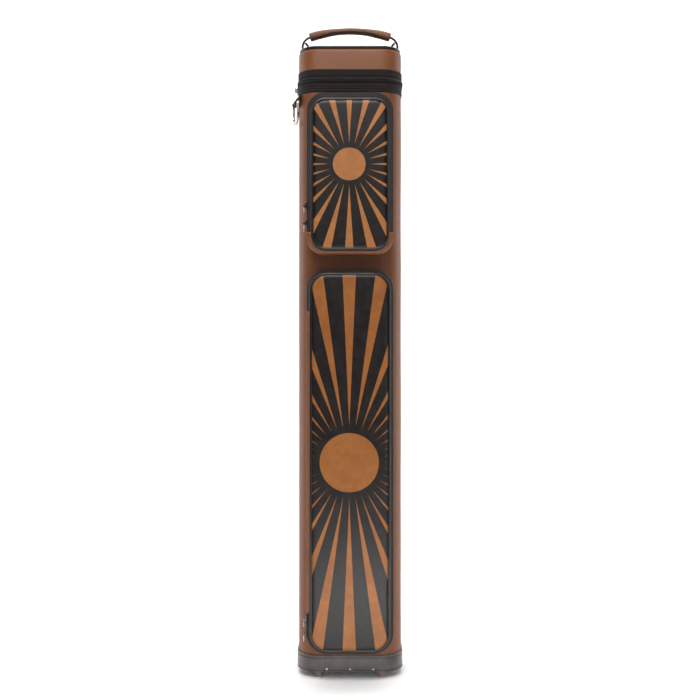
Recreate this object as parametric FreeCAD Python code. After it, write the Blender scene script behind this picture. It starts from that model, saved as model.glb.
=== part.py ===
"""Hard cue case for three butts and five shafts.

Frame: millimetres, +Z up, case standing on its rubber feet. The origin is on the floor,
under the centre of the oval body. The pockets face -Y and +X is to the right seen from the front.
"""
import FreeCAD, Part
import math
import os

V = FreeCAD.Vector
X, Y, Z = V(1, 0, 0), V(0, 1, 0), V(0, 0, 1)
os.makedirs("parts", exist_ok=True)

# ---------------------------------------------------------------- shared dimensions
BODY_HW, BODY_HD, BODY_R = 71.5, 48.0, 30.0      # half width, half depth, corner over the leather
COVER_T = 1.2                                    # leatherette skin
SHELL_T = 2.6                                    # rigid core wall
GAP = 0.05                                       # air left between glued layers
PART_Z = 824.0                                   # zip line between body and lid
PART_CLEAR = 0.8                                 # from the zip line to the body or lid edge
LID_TOP = 868.0                                  # top of the lid core
PIPE_R = 2.1                                     # cord piping
TAPE_T = 1.0                                     # zip tape thickness
TEETH_OUT, TEETH_H = 1.45, 3.0                   # chain height over the tape, half chain width
TEETH_ROOT = 0.2                                 # how deep the chain sinks into the tape
CHAIN_GAP = 0.05
CUT_TOP, CUT_X = 900, 100                        # oversize reach of cutting solids

# offsets from the body's outer oval
CORE_OUT = -COVER_T - GAP
CORE_IN = CORE_OUT - SHELL_T
FILL_OFF = CORE_IN - GAP                         # pieces that fit inside the core

ARC_MID = 1 - math.sqrt(0.5)                     # corner to quarter-arc middle, per unit radius


# ---------------------------------------------------------------- helpers
def wire_of(curves):
    return Part.Wire([curve.toShape() for curve in curves])


def rounded_rect(half_u, half_v, r, mid_u, mid_v, put):
    """Rounded rectangle as a closed wire; put(u, v) places a 2-D point in space."""
    u0, u1, v0, v1 = mid_u - half_u, mid_u + half_u, mid_v - half_v, mid_v + half_v
    k = r * ARC_MID
    return wire_of([
        Part.LineSegment(put(u0 + r, v0), put(u1 - r, v0)),
        Part.Arc(put(u1 - r, v0), put(u1 - k, v0 + k), put(u1, v0 + r)),
        Part.LineSegment(put(u1, v0 + r), put(u1, v1 - r)),
        Part.Arc(put(u1, v1 - r), put(u1 - k, v1 - k), put(u1 - r, v1)),
        Part.LineSegment(put(u1 - r, v1), put(u0 + r, v1)),
        Part.Arc(put(u0 + r, v1), put(u0 + k, v1 - k), put(u0, v1 - r)),
        Part.LineSegment(put(u0, v1 - r), put(u0, v0 + r)),
        Part.Arc(put(u0, v0 + r), put(u0 + k, v0 + k), put(u0 + r, v0)),
    ])


def body_wire(off, z):
    """The body's oval section, grown by off, at height z."""
    return rounded_rect(BODY_HW + off, BODY_HD + off, BODY_R + off, 0, 0, lambda u, v: V(u, v, z))


def slab(off, z0, z1):
    return Part.Face(body_wire(off, z0)).extrude(V(0, 0, z1 - z0))


def ring(off_out, off_in, z0, z1):
    return slab(off_out, z0, z1).cut(slab(off_in, z0 - 1, z1 + 1))


def box(x0, y0, z0, x1, y1, z1):
    return Part.makeBox(x1 - x0, y1 - y0, z1 - z0, V(x0, y0, z0))


def cyl(radius, length, start, direction=Z):
    return Part.makeCylinder(radius, length, start, direction)


def start_of(edge):
    """Start point and tangent of an edge."""
    return edge.valueAt(edge.FirstParameter), edge.tangentAt(edge.FirstParameter)


def pipe(path, radius):
    """Round cord along a smooth wire."""
    point, tangent = start_of(path.OrderedEdges[0])
    profile = wire_of([Part.Circle(point, tangent, radius)])
    swept = path.makePipeShell([profile], True, True)
    return swept if swept.ShapeType == "Solid" else Part.Solid(swept)


def place(shape, origin, u, v, w):
    """Move a shape from local axes to the right-handed unit vectors u, v, w at origin."""
    placement = FreeCAD.Placement()
    placement.Matrix = FreeCAD.Matrix(u.x, v.x, w.x, origin.x, u.y, v.y, w.y, origin.y,
                                      u.z, v.z, w.z, origin.z, 0, 0, 0, 1)
    shape.Placement = placement
    return shape


def save(name, *shapes):
    solids = []
    for shape in shapes:
        solids += shape.Solids or [Part.Solid(shape)]
    assert all(s.isValid() and s.Volume > 0 for s in solids), name
    piece = solids[0] if len(solids) == 1 else Part.makeCompound(solids)
    piece.exportStep("parts/%s.step" % name)


body_solid = slab(GAP, 0, CUT_TOP)               # clears attached pieces from the body

# ---------------------------------------------------------------- body: core, skin, base
FOOT_H = 8.5                                     # rubber feet height = underside of the boot
FOOT_X, FOOT_Y, FOOT_R = 44.0, 38.0, 6.5
FOOT_TAPER = 0.7
BOOT_T, BOOT_FLOOR_T, BOOT_TOP = 1.9, 1.5, 32.0  # black boot: wall, floor, top edge height
BOOT_ROUND = 1.6
BOARD_T = 8.0                                    # base board
NAIL_X, NAIL_Z = (-32, 0, 32), 13.0
NAIL_R, NAIL_L, NAIL_HOLE_R = 0.8, 12, 0.85
NAIL_HEAD_R, NAIL_DOME_R = 1.8, 2.2
SCREW_R, SCREW_L, SCREW_HOLE_R = 1.85, 15.5, 1.95
SCREW_HEAD_R, SCREW_HEAD_H, SCREW_Z = 3.6, 1.8, 1.15
CROSS_HALF_W, CROSS_REACH, CROSS_TOP = 0.5, 4, 1.9   # cross slot in the screw head

board_z0 = FOOT_H + BOOT_FLOOR_T
board_z1 = board_z0 + BOARD_T

# eight round-headed nails hold the boot to the base board: (point on the boot, inward direction)
nail_sites = [(V(x, -s * (BODY_HD + BOOT_T), NAIL_Z), V(0, s, 0)) for s in (1, -1) for x in NAIL_X]
nail_sites += [(V(-s * (BODY_HW + BOOT_T), 0, NAIL_Z), V(s, 0, 0)) for s in (1, -1)]
nail_holes = Part.makeCompound([cyl(NAIL_HOLE_R, 16, p - d, d) for p, d in nail_sites])
feet_at = [(sx * FOOT_X, sy * FOOT_Y) for sx in (-1, 1) for sy in (-1, 1)]
screw_holes = Part.makeCompound([cyl(SCREW_HOLE_R, 12, V(x, y, FOOT_H - 0.5)) for x, y in feet_at])


def body_wall(off_out, off_in):
    wall = ring(off_out, off_in, board_z0 + GAP, PART_Z - PART_CLEAR)
    return wall.cut(nail_holes).removeSplitter()


def base_board():
    board = slab(FILL_OFF, board_z0 + GAP, board_z1)
    return board.cut(nail_holes).cut(screw_holes).removeSplitter()


def base_boot():
    """Open-topped boot, rounded along its bottom edge."""
    boot = slab(BOOT_T, FOOT_H, BOOT_TOP)
    bottom = [e for e in boot.Edges if abs(e.BoundBox.ZMax - FOOT_H) < 1e-6]
    boot = boot.makeFillet(BOOT_ROUND, bottom)
    boot = boot.cut(slab(GAP, board_z0, BOOT_TOP + 5))
    return boot.cut(nail_holes).cut(screw_holes).removeSplitter()


def nail(point, inward):
    under_head = point - inward * GAP
    shank = cyl(NAIL_R, NAIL_L, under_head, inward)
    dome = Part.makeSphere(NAIL_DOME_R, point + inward * 1.25, inward * -1, 0, 90, 360)
    head = dome.common(cyl(NAIL_HEAD_R, 2, point - inward * 1.5, inward))
    head = head.cut(cyl(5, 5, under_head, inward))
    return head.fuse(shank).removeSplitter()


def foot(x, y):
    """Tapered foot with a counterbored screw hole."""
    cone = Part.makeCone(FOOT_R - FOOT_TAPER, FOOT_R, FOOT_H - GAP, V(x, y, 0))
    return cone.cut(cyl(3.9, 4.0, V(x, y, -1))).cut(cyl(2.0, 20, V(x, y, -1)))


def foot_screw(x, y):
    head = cyl(SCREW_HEAD_R, SCREW_HEAD_H, V(x, y, SCREW_Z))
    screw = head.fuse(cyl(SCREW_R, SCREW_L, V(x, y, SCREW_Z)))
    for dx, dy in ((CROSS_REACH, CROSS_HALF_W), (CROSS_HALF_W, CROSS_REACH)):
        screw = screw.cut(box(x - dx, y - dy, 0, x + dx, y + dy, CROSS_TOP))
    return screw.removeSplitter()


save("body_shell", body_wall(CORE_OUT, CORE_IN))
save("body_cover", body_wall(0.0, -COVER_T))
save("base_board", base_board())
save("base_boot", base_boot())
save("boot_nails", *[nail(p, d) for p, d in nail_sites])
save("rubber_feet", *[foot(x, y) for x, y in feet_at])
save("foot_screws", *[foot_screw(x, y) for x, y in feet_at])

# ---------------------------------------------------------------- inside: pad, plate, tubes
PAD_T = 10.0                                     # foam end pad
TUBE_TOP = 807.0
PLATE_T, PLATE_DROP = 6.0, 1                     # mouth plate, its depth below the tube tops
BUTT_OR, BUTT_IR, BUTT_Y = 19.0, 17.5, 14.2
SHAFT_OR, SHAFT_IR, SHAFT_Y = 12.7, 11.5, -20.5
BUTT_PITCH, SHAFT_PITCH = 42.0, 26.0

tube_z0 = board_z1 + PAD_T
plate_top = TUBE_TOP - PLATE_DROP

# name, x, y, outer radius, inner radius
tubes = [("butt_tube_" + side, i * BUTT_PITCH, BUTT_Y, BUTT_OR, BUTT_IR)
         for i, side in ((-1, "left"), (0, "centre"), (1, "right"))]
tubes += [("shaft_tube_%d" % (i + 1), (i - 2) * SHAFT_PITCH, SHAFT_Y, SHAFT_OR, SHAFT_IR)
          for i in range(5)]

plate = slab(FILL_OFF, plate_top - PLATE_T, plate_top)
for name, x, y, r_out, r_in in tubes:
    plate = plate.cut(cyl(r_out + GAP, 40, V(x, y, TUBE_TOP - 20)))
    tube = cyl(r_out, TUBE_TOP - tube_z0 - GAP, V(x, y, tube_z0 + GAP))
    save(name, tube.cut(cyl(r_in, 900, V(x, y, 0))))
save("mouth_plate", plate)
save("tube_end_pad", slab(FILL_OFF, board_z1 + GAP, tube_z0))

# ---------------------------------------------------------------- lid
LID_TOP_T = 3.0
LID_ROUND, CORE_ROUND = 4.0, 3.0                 # top edge rounding of the skin and the core
LID_PAD_T = 8
PANEL_TOP = LID_TOP + 2.6                        # upper face of the top panel

lid_z0 = PART_Z + PART_CLEAR
lid_ceiling = LID_TOP - LID_TOP_T
lid_pipe_off = -LID_ROUND + 0.8


def rounded_top(off, z0, z1, radius):
    block = slab(off, z0, z1)
    return block.makeFillet(radius, [e for e in block.Edges if e.BoundBox.ZMin > z1 - 1e-6])


def lid_shell():
    core = rounded_top(CORE_OUT, lid_z0, LID_TOP, CORE_ROUND)
    return core.cut(slab(CORE_IN, lid_z0 - 1, lid_ceiling)).removeSplitter()


def lid_cover():
    inside = rounded_top(-COVER_T, lid_z0 - 1, LID_TOP + 0.001, CORE_ROUND)
    return rounded_top(0.0, lid_z0, LID_TOP, LID_ROUND).cut(inside).removeSplitter()


save("lid_shell", lid_shell())
save("lid_cover", lid_cover())
save("lid_piping", pipe(body_wire(lid_pipe_off, LID_TOP + PIPE_R + GAP), PIPE_R))
save("lid_top_panel", slab(lid_pipe_off - PIPE_R - GAP, LID_TOP + GAP, PANEL_TOP))
save("lid_pad", slab(FILL_OFF, lid_ceiling - LID_PAD_T, lid_ceiling - GAP))

# ---------------------------------------------------------------- lid zip and hinge
HINGE_HW, HINGE_REACH = 37.8, 17.5               # leather hinge: half width, height of each leaf
HINGE_OUT = 1.25                                 # outer face of the hinge, off the body
HINGE_CLEAR = 0.4                                # from the hinge to the zip ends

back_gap = box(-HINGE_HW - HINGE_CLEAR, 30, PART_Z - 40, HINGE_HW + HINGE_CLEAR, 90, PART_Z + 40)


def lid_zip_half(side, tape_reach):
    """Tape over the leather and chain on the zip line, open at the back; side -1 is below."""
    near = PART_Z + side * CHAIN_GAP
    tape = ring(GAP + TAPE_T, GAP, *sorted((PART_Z + side * tape_reach, near)))
    chain = ring(GAP + TAPE_T + TEETH_OUT, GAP + TAPE_T - TEETH_ROOT,
                 *sorted((near, near + side * TEETH_H)))
    return tape.fuse(chain).cut(back_gap).removeSplitter()


for side_name, side, tape_reach in (("case", -1, 16.5), ("lid", 1, 14.8)):
    save("lid_zip_%s_side" % side_name, lid_zip_half(side, tape_reach))
    leaf_z0, leaf_z1 = sorted((PART_Z + side * HINGE_REACH, PART_Z + side * CHAIN_GAP))
    save("lid_hinge_%s_leaf" % side_name,
         box(-HINGE_HW, BODY_HD + GAP, leaf_z0, HINGE_HW, BODY_HD + HINGE_OUT, leaf_z1))

# ---------------------------------------------------------------- carrying handle
HANDLE_X, HANDLE_Z = 62.5, 877.5                 # middle of each tab, height of the pivots
CORD_R = 1.75
TAB_HW, TAB_HD, TAB_TOP, TAB_R = 3.2, 9, LID_TOP + 4.0, 2.5      # base of a tab
LUG_T, LUG_R = 3.6, 3.0                          # upright lug and its rounded eye
LUG_HALF_LOW, LUG_HALF_HIGH = 5.5, 2.9           # lug half depth at its foot and at the eye
GRIP_HALF, GRIP_Z0, GRIP_Z1 = 57.0, 896.0, 905.0 # grip half length, end height, mid height
GRIP_HALF_W, GRIP_HALF_H, GRIP_R = 7.0, 5.2, 4.6 # grip section

grip_rise = GRIP_Z1 - GRIP_Z0
arc_r = (GRIP_HALF ** 2 + grip_rise ** 2) / (2 * grip_rise)
arc_mid_z = GRIP_Z1 - arc_r
arc_end = math.asin(GRIP_HALF / arc_r)


def handle_tab(side):
    base = box(-TAB_HW, -TAB_HD, PANEL_TOP + GAP, TAB_HW, TAB_HD, TAB_TOP)
    base = base.makeFillet(TAB_R, [e for e in base.Edges if e.BoundBox.ZLength > 1.2])
    x, low, high = -LUG_T / 2, LID_TOP + 3.5, HANDLE_Z + 0.7
    eye = cyl(LUG_R, LUG_T, V(x, 0, HANDLE_Z), X)
    lug = Part.Face(Part.makePolygon([
        V(x, -LUG_HALF_LOW, low), V(x, LUG_HALF_LOW, low), V(x, LUG_HALF_HIGH, high),
        V(x, -LUG_HALF_HIGH, high), V(x, -LUG_HALF_LOW, low)])).extrude(V(LUG_T, 0, 0))
    tab = base.fuse([eye, lug]).cut(cyl(CORD_R + 0.15, 30, V(-15, 0, HANDLE_Z), X))
    tab = tab.removeSplitter()
    tab.translate(V(side * HANDLE_X, 0, 0))
    return tab


def on_arc(angle):
    return V(arc_r * math.sin(angle), 0, arc_mid_z + arc_r * math.cos(angle))


def grip_edge(reach=1.0):
    """The grip's centre line; reach scales its length."""
    return Part.Arc(on_arc(-arc_end * reach), on_arc(0), on_arc(arc_end * reach)).toShape()


def handle_grip():
    start, tangent = start_of(grip_edge())
    up = tangent.cross(Y) * -1
    section = rounded_rect(GRIP_HALF_W, GRIP_HALF_H, GRIP_R, 0, 0,
                           lambda u, v: start + Y * u + up * v)
    grip = Part.Wire([grip_edge()]).makePipeShell([section], True, True)
    return grip.cut(pipe(Part.Wire([grip_edge(1.02)]), CORD_R + 0.1)).removeSplitter()


def bezier(poles):
    curve = Part.BezierCurve()
    curve.setPoles(poles)
    return curve.toShape()


def mirror(point):
    return V(-point.x, point.y, point.z)


def handle_cord():
    """A closed drop-shaped eye through each tab, one run through the grip between them."""
    grip_end = on_arc(arc_end)
    end_tangent = V(math.cos(arc_end), 0, -math.sin(arc_end))
    pivot_in, pivot_out = V(HANDLE_X - 2.2, 0, HANDLE_Z), V(HANDLE_X + 2.0, 0, HANDLE_Z)
    outer = [pivot_out, pivot_out + V(4.2, 0, 0), V(HANDLE_X + 6.1, 0, HANDLE_Z + 9),
             grip_end + end_tangent * 9, grip_end]
    outer_right = bezier(outer[::-1])
    outer_left = bezier([mirror(p) for p in outer])
    first, last = outer_right.FirstParameter, outer_right.LastParameter
    meet = outer_right.valueAt(first + 0.36 * (last - first))
    inner = [pivot_in, pivot_in + V(-3.6, 0, 0), V(HANDLE_X - 4.2, 0, HANDLE_Z + 7.5), meet]
    pivot_l = pivot_out.x - pivot_in.x
    cord = pipe(Part.Wire([outer_left, grip_edge(), outer_right]), CORD_R)
    eyes = [pipe(Part.Wire([bezier(inner)]), CORD_R),
            pipe(Part.Wire([bezier([mirror(p) for p in inner])]), CORD_R),
            cyl(CORD_R, pivot_l, pivot_in, X),
            cyl(CORD_R, pivot_l, mirror(pivot_out), X)]
    return cord.fuse(eyes).removeSplitter()


save("handle_tabs", handle_tab(-1), handle_tab(1))
save("handle_grip", handle_grip())
save("handle_cord", handle_cord())

# ---------------------------------------------------------------- strap rings
RING_OUT, RING_HALF, RING_DROP, WIRE_R = 5.4, 14.0, 28.0, 1.8    # ring plane off the body, size
RING_CORNER = 3.0
RING_TAB_HALF, SLEEVE_R = 10.5, 3.3              # tab half width, sleeve round the ring's bar
RING_TAB_ROOT, RING_TAB_LIP = -8, 1.5            # depth inside the body, ledge at the top
UPPER_RING_ANGLE = math.radians(15)              # from -X towards -Y, round the front left corner


# local axes of both shapes: x outward, y along the body's surface, z up
def ring_tab(top, bar):
    low = bar - SLEEVE_R
    side = Part.makePolygon([
        V(RING_TAB_ROOT, 0, top), V(RING_TAB_LIP, 0, top), V(RING_OUT, 0, bar + SLEEVE_R),
        V(RING_OUT, 0, low), V(RING_TAB_ROOT, 0, low), V(RING_TAB_ROOT, 0, top)])
    tab = Part.Face(side).extrude(V(0, 2 * RING_TAB_HALF, 0))
    tab.translate(V(0, -RING_TAB_HALF, 0))
    tab = tab.fuse(cyl(SLEEVE_R, 2 * RING_TAB_HALF, V(RING_OUT, -RING_TAB_HALF, bar), Y))
    return tab.cut(cyl(WIRE_R + 0.2, 80, V(RING_OUT, -40, bar), Y))


def d_ring(bar):
    """Wire ring hanging from a straight bar, round at the bottom."""
    half, corner = RING_HALF, RING_CORNER
    k = corner * ARC_MID
    low = bar - (RING_DROP - RING_HALF)

    def at(y, z):
        return V(RING_OUT, y, z)

    return pipe(wire_of([
        Part.LineSegment(at(-half + corner, bar), at(half - corner, bar)),
        Part.Arc(at(half - corner, bar), at(half - k, bar - k), at(half, bar - corner)),
        Part.LineSegment(at(half, bar - corner), at(half, low)),
        Part.Arc(at(half, low), at(0, low - half), at(-half, low)),
        Part.LineSegment(at(-half, low), at(-half, bar - corner)),
        Part.Arc(at(-half, bar - corner), at(-half + k, bar - k), at(-half + corner, bar)),
    ]), WIRE_R)


upper_normal = V(-math.cos(UPPER_RING_ANGLE), -math.sin(UPPER_RING_ANGLE), 0)
upper_origin = V(-(BODY_HW - BODY_R), -(BODY_HD - BODY_R), 0) + upper_normal * BODY_R
# name, origin, outward normal, tab top height, bar height
for name, origin, normal, tab_top, bar in (("upper", upper_origin, upper_normal, 806.5, 795.5),
                                           ("lower", V(0, BODY_HD, 0), Y, 94.0, 82.0)):
    frame = (origin, normal, Z.cross(normal), Z)
    tab = place(ring_tab(tab_top, bar), *frame).cut(body_solid).removeSplitter()
    save(name + "_ring_tab", tab)
    save(name + "_strap_ring", place(d_ring(bar), *frame))

# ---------------------------------------------------------------- pockets
# outlines: half width, bottom, top, corner radius; base is on the body, rim is the piping
# y planes: front = face of the flap, chain = zip line, band = front edge of the zipped gusset
SMALL = dict(base=(59.0, 582.0, 802.0, 24.0), rim=(52.8, 586.3, 792.0, 20.0),
             front=-84.0, chain=-71.0, band=-56.0)
LARGE = dict(base=(59.5, 38.0, 562.0, 28.0), rim=(55.0, 42.5, 557.0, 25.0),
             front=-78.0, chain=-65.0, band=-54.0)
SMALL_HINGE_Z = 611.0                            # the small pocket's zip stops here; leather below
LARGE_HINGE = (95.0, 505.0)                      # leather hinge up the large pocket's left side
GUSSET_T = 1.6
GUSSET_SETBACK = 6.5                             # gusset edge behind the flap face
LINING_T = 0.8
FLAP_BOARD_T, FLAP_BOARD_INSET = 2.8, 0.3
PIPE_SETBACK = 2.5                               # piping centre behind the flap front plane
FACE_SETBACK, FACE_CHAMFER = 0.4, 1.6
SLOPE_INSET, SLOPE_OVERLAP = 1.7, 0.9            # sloping tape: inside the base, outside the rim
ZIP_INSET = GUSSET_T + GAP


def inset(outline, amount):
    half_w, z0, z1, r = outline
    return half_w - amount, z0 + amount, z1 - amount, r - amount


def front_wire(outline, y):
    half_w, z0, z1, r = outline
    return rounded_rect(half_w, (z1 - z0) / 2, r, 0, (z0 + z1) / 2, lambda u, v: V(u, y, v))


def front_slab(outline, y_start, y_end):
    return Part.Face(front_wire(outline, y_start)).extrude(V(0, y_end - y_start, 0))


def front_ring(outline, t, y_start, y_end):
    over = 1 if y_end > y_start else -1
    return front_slab(outline, y_start, y_end).cut(
        front_slab(inset(outline, t), y_start - over, y_end + over))


def chain_ring(tape_outline, y_start, y_end):
    return front_ring(inset(tape_outline, -TEETH_OUT), TEETH_OUT + TEETH_ROOT, y_start, y_end)


def sloping_tape(pocket, y_back, y_front):
    """Tape that slopes from the chain outline in to the piping outline."""
    back, front = inset(pocket["base"], SLOPE_INSET), inset(pocket["rim"], -SLOPE_OVERLAP)
    outer = Part.makeLoft([front_wire(back, y_back), front_wire(front, y_front)], True, True)
    inner = Part.makeLoft([front_wire(inset(back, TAPE_T), y_back + 0.001),
                           front_wire(inset(front, TAPE_T), y_front - 0.001)], True, True)
    return outer.cut(inner)


def largest(shape):
    return max(shape.Solids, key=lambda s: s.Volume)


def front_part(zone, pocket, y_back):
    """The part of zone in front of the plane y_back."""
    return box(-CUT_X, pocket["front"] - 5, 0, CUT_X, y_back, CUT_TOP).common(zone)


def pocket_gusset(pocket, zip_zone):
    """Leather band round the base, full depth where the leather hinge is."""
    wall = front_ring(pocket["base"], GUSSET_T, -20, pocket["front"] + GUSSET_SETBACK)
    wall = wall.cut(front_part(zip_zone, pocket, pocket["band"])).cut(body_solid)
    return largest(wall).removeSplitter()


def pocket_lining(pocket):
    """Lining sheet on the case front."""
    base = pocket["base"]
    sheet = slab(GAP + LINING_T, base[1] - 5, base[2] + 5).cut(body_solid)
    return sheet.common(front_slab(inset(base, GUSSET_T + 0.1), -90, 0)).removeSplitter()


def zip_case_side(pocket, zip_zone):
    outline, chain_y = inset(pocket["base"], ZIP_INSET), pocket["chain"]
    tape = front_ring(outline, TAPE_T, pocket["band"] + 4, chain_y + CHAIN_GAP)
    chain = chain_ring(outline, chain_y + TEETH_H, chain_y + CHAIN_GAP)
    half = tape.fuse(chain).common(zip_zone).cut(body_solid)
    return half.cut(slab(GAP + LINING_T + GAP, 0, CUT_TOP)).removeSplitter()


def zip_flap_side(pocket, zip_zone, board_front, board_back):
    outline, chain_y = inset(pocket["base"], ZIP_INSET), pocket["chain"]
    near = chain_y - CHAIN_GAP
    tape = front_ring(outline, TAPE_T, near, chain_y - TEETH_H - 0.2)
    chain = chain_ring(outline, near, chain_y - TEETH_H)
    slope = sloping_tape(pocket, chain_y - TEETH_H + 0.2, board_front - 0.3)
    keep = front_part(zip_zone, pocket, near)
    half = tape.fuse(chain).fuse(slope).common(keep).removeSplitter()
    board_room = inset(pocket["rim"], FLAP_BOARD_INSET - GAP)
    half = half.cut(front_slab(board_room, board_back + 5, board_front - 5))
    return largest(half.removeSplitter())


def flap_face(pocket, board_front):
    """Padded face inside the piping, chamfered round its front edge."""
    y = pocket["front"] - FACE_SETBACK
    face = front_slab(inset(pocket["rim"], 2 * PIPE_R + GAP), board_front - GAP, y)
    edges = [e for e in face.Edges
             if abs(e.BoundBox.YMin - y) < 1e-4 and abs(e.BoundBox.YMax - y) < 1e-4]
    return face.makeChamfer(FACE_CHAMFER, edges)


def save_pocket(name, pocket, zip_zone):
    rim, pipe_y = pocket["rim"], pocket["front"] + PIPE_SETBACK
    board_front = pipe_y + PIPE_R + GAP
    board_back = board_front + FLAP_BOARD_T
    save(name + "_pocket_gusset", pocket_gusset(pocket, zip_zone))
    save(name + "_pocket_lining", pocket_lining(pocket))
    save(name + "_zip_case_side", zip_case_side(pocket, zip_zone))
    save(name + "_zip_flap_side", zip_flap_side(pocket, zip_zone, board_front, board_back))
    save(name + "_flap_board", front_slab(inset(rim, FLAP_BOARD_INSET), board_back, board_front))
    save(name + "_flap_face", flap_face(pocket, board_front))
    save(name + "_flap_piping", pipe(front_wire(inset(rim, PIPE_R), pipe_y), PIPE_R))


large_hinge = box(-CUT_X, -121, LARGE_HINGE[0], -30, 1, LARGE_HINGE[1])
save_pocket("small", SMALL, box(-CUT_X, -120, SMALL_HINGE_Z, CUT_X, 0, CUT_TOP))
save_pocket("large", LARGE, box(-CUT_X, -120, 0, CUT_X, 0, CUT_TOP).cut(large_hinge))

# ---------------------------------------------------------------- zip sliders and pulls
# local axes: x along the chain, y across it, z outward from its outer face
PIN_X, PIN_Z, PIN_R = -1.2, 3.7, 0.65            # pull pivot
SLIDER_HL, SLIDER_HW, SLIDER_TOP = 4.5, 4.0, 2.1
SLIDER_GAP = 0.25
EAR_R, EAR_T, EAR_Y = 1.2, 0.95, (-2.7, 1.75)
PULL_L, PULL_T = 11.0, 1.2
PULL_R_PIN, PULL_R_END = 1.5, 2.8                # end radii of the drop shape
SLOT_R_PIN, SLOT_R_END, SLOT_L = 1.0, 1.25, 2.4


def slider():
    body = box(-SLIDER_HL, -SLIDER_HW, SLIDER_GAP, SLIDER_HL, SLIDER_HW, SLIDER_TOP)
    height = SLIDER_TOP - SLIDER_GAP
    body = body.makeFillet(1.6, [e for e in body.Edges if abs(e.BoundBox.ZLength - height) < 1e-6])
    body = body.makeChamfer(
        0.6, [e for e in body.Edges if abs(e.BoundBox.ZMin - SLIDER_TOP) < 1e-6])
    ears = [box(PIN_X - EAR_R, y, 1.9, PIN_X + EAR_R, y + EAR_T, PIN_Z).fuse(
        cyl(EAR_R, EAR_T, V(PIN_X, y, PIN_Z), Y)) for y in EAR_Y]
    pin = cyl(PIN_R, 5.0, V(PIN_X, -2.5, PIN_Z), Y)
    return body.fuse(ears + [pin]).removeSplitter()


def pull():
    """Drop-shaped pull with a slot, lying along -x from the slider's pin."""
    z = PIN_Z - PULL_T / 2
    x0, x1 = PIN_X - 1.0, PIN_X - PULL_L + PULL_R_END
    # the straight sides are tangent to both end circles
    sine = (PULL_R_END - PULL_R_PIN) / (x0 - x1)
    cosine = math.sqrt(1 - sine * sine)
    a0 = V(x0 + PULL_R_PIN * sine, PULL_R_PIN * cosine, z)
    a1 = V(x1 + PULL_R_END * sine, PULL_R_END * cosine, z)
    b0, b1 = V(a0.x, -a0.y, z), V(a1.x, -a1.y, z)
    blade = Part.Face(wire_of([
        Part.LineSegment(a0, a1), Part.Arc(a1, V(x1 - PULL_R_END, 0, z), b1),
        Part.LineSegment(b1, b0), Part.Arc(b0, V(x0 + PULL_R_PIN, 0, z), a0),
    ])).extrude(V(0, 0, PULL_T))
    eye = cyl(1.15, 3.0, V(PIN_X, -1.5, PIN_Z), Y)
    slot_x0 = x1 + 0.2
    slot_x1 = slot_x0 + SLOT_L
    slot = cyl(SLOT_R_END, 9, V(slot_x0, 0, 0)).fuse([
        box(slot_x0, -SLOT_R_PIN, 0, slot_x1, SLOT_R_PIN, 9),
        cyl(SLOT_R_PIN, 9, V(slot_x1, 0, 0))])
    pin_hole = cyl(0.72, 9, V(PIN_X, -4.5, PIN_Z), Y)
    return eye.fuse(blade).cut(slot).cut(pin_hole).removeSplitter()


def save_slider(name, *frame):
    """frame: a point on the chain's outer face, then the directions of local x, y, z."""
    save(name + "_slider", place(slider(), *frame))
    save(name + "_pull", place(pull(), *frame))


# lid: the two sliders meet at the left rear corner; the front one's pull lies forwards
REAR_ANGLE = math.radians(18)                    # from -X towards +Y, round the corner
lid_chain_r = BODY_R + GAP + TAPE_T + TEETH_OUT
corner = V(-(BODY_HW - BODY_R), BODY_HD - BODY_R, PART_Z)
rear_out = V(-math.cos(REAR_ANGLE), math.sin(REAR_ANGLE), 0)
rear_along = V(-math.sin(REAR_ANGLE), -math.cos(REAR_ANGLE), 0)
save_slider("lid_zip_front", corner - V(lid_chain_r, 0.5, 0), Y, Z * -1, X * -1)
save_slider("lid_zip_rear", corner + rear_out * lid_chain_r, rear_along, Z, rear_out)

# pockets: both sliders on the left side, pulls hanging down
for name, pocket, upper_z, lower_z in (
        ("small", SMALL, 648, 624.5),
        ("large", LARGE, 86, LARGE["base"][1] + LARGE["base"][3])):
    chain_x = -(pocket["base"][0] - ZIP_INSET + TEETH_OUT)
    for level, z in (("upper", upper_z), ("lower", lower_z)):
        save_slider("%s_zip_%s" % (name, level), V(chain_x, pocket["chain"], z), Z, Y, X * -1)
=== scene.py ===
"""Leatherette case for butt and shaft tubes, with a hinged lid and two zipped pockets.

The case stands upright on z = 0, centred on the z axis. Its front, with the pockets, faces -Y
and the lid hinges on the back, +Y. Lengths are in mm and become metres when a mesh is built;
materials, lights and the camera are in metres.
"""
import math
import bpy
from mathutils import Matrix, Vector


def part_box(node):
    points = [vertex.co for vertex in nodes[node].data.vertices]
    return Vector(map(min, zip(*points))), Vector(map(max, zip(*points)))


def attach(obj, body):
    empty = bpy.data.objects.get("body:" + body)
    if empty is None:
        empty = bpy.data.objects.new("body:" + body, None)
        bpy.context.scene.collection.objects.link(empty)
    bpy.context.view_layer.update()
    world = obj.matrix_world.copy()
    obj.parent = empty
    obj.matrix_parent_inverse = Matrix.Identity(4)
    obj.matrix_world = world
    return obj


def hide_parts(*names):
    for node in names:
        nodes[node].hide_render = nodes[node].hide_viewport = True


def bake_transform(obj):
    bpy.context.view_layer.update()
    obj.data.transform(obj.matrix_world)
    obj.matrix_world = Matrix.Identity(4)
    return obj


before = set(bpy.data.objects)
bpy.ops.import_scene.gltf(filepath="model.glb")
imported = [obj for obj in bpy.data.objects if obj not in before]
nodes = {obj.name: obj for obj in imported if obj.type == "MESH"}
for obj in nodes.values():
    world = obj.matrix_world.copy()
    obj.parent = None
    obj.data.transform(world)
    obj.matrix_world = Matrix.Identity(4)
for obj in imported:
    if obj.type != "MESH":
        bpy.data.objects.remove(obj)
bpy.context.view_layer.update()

from types import SimpleNamespace

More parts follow.
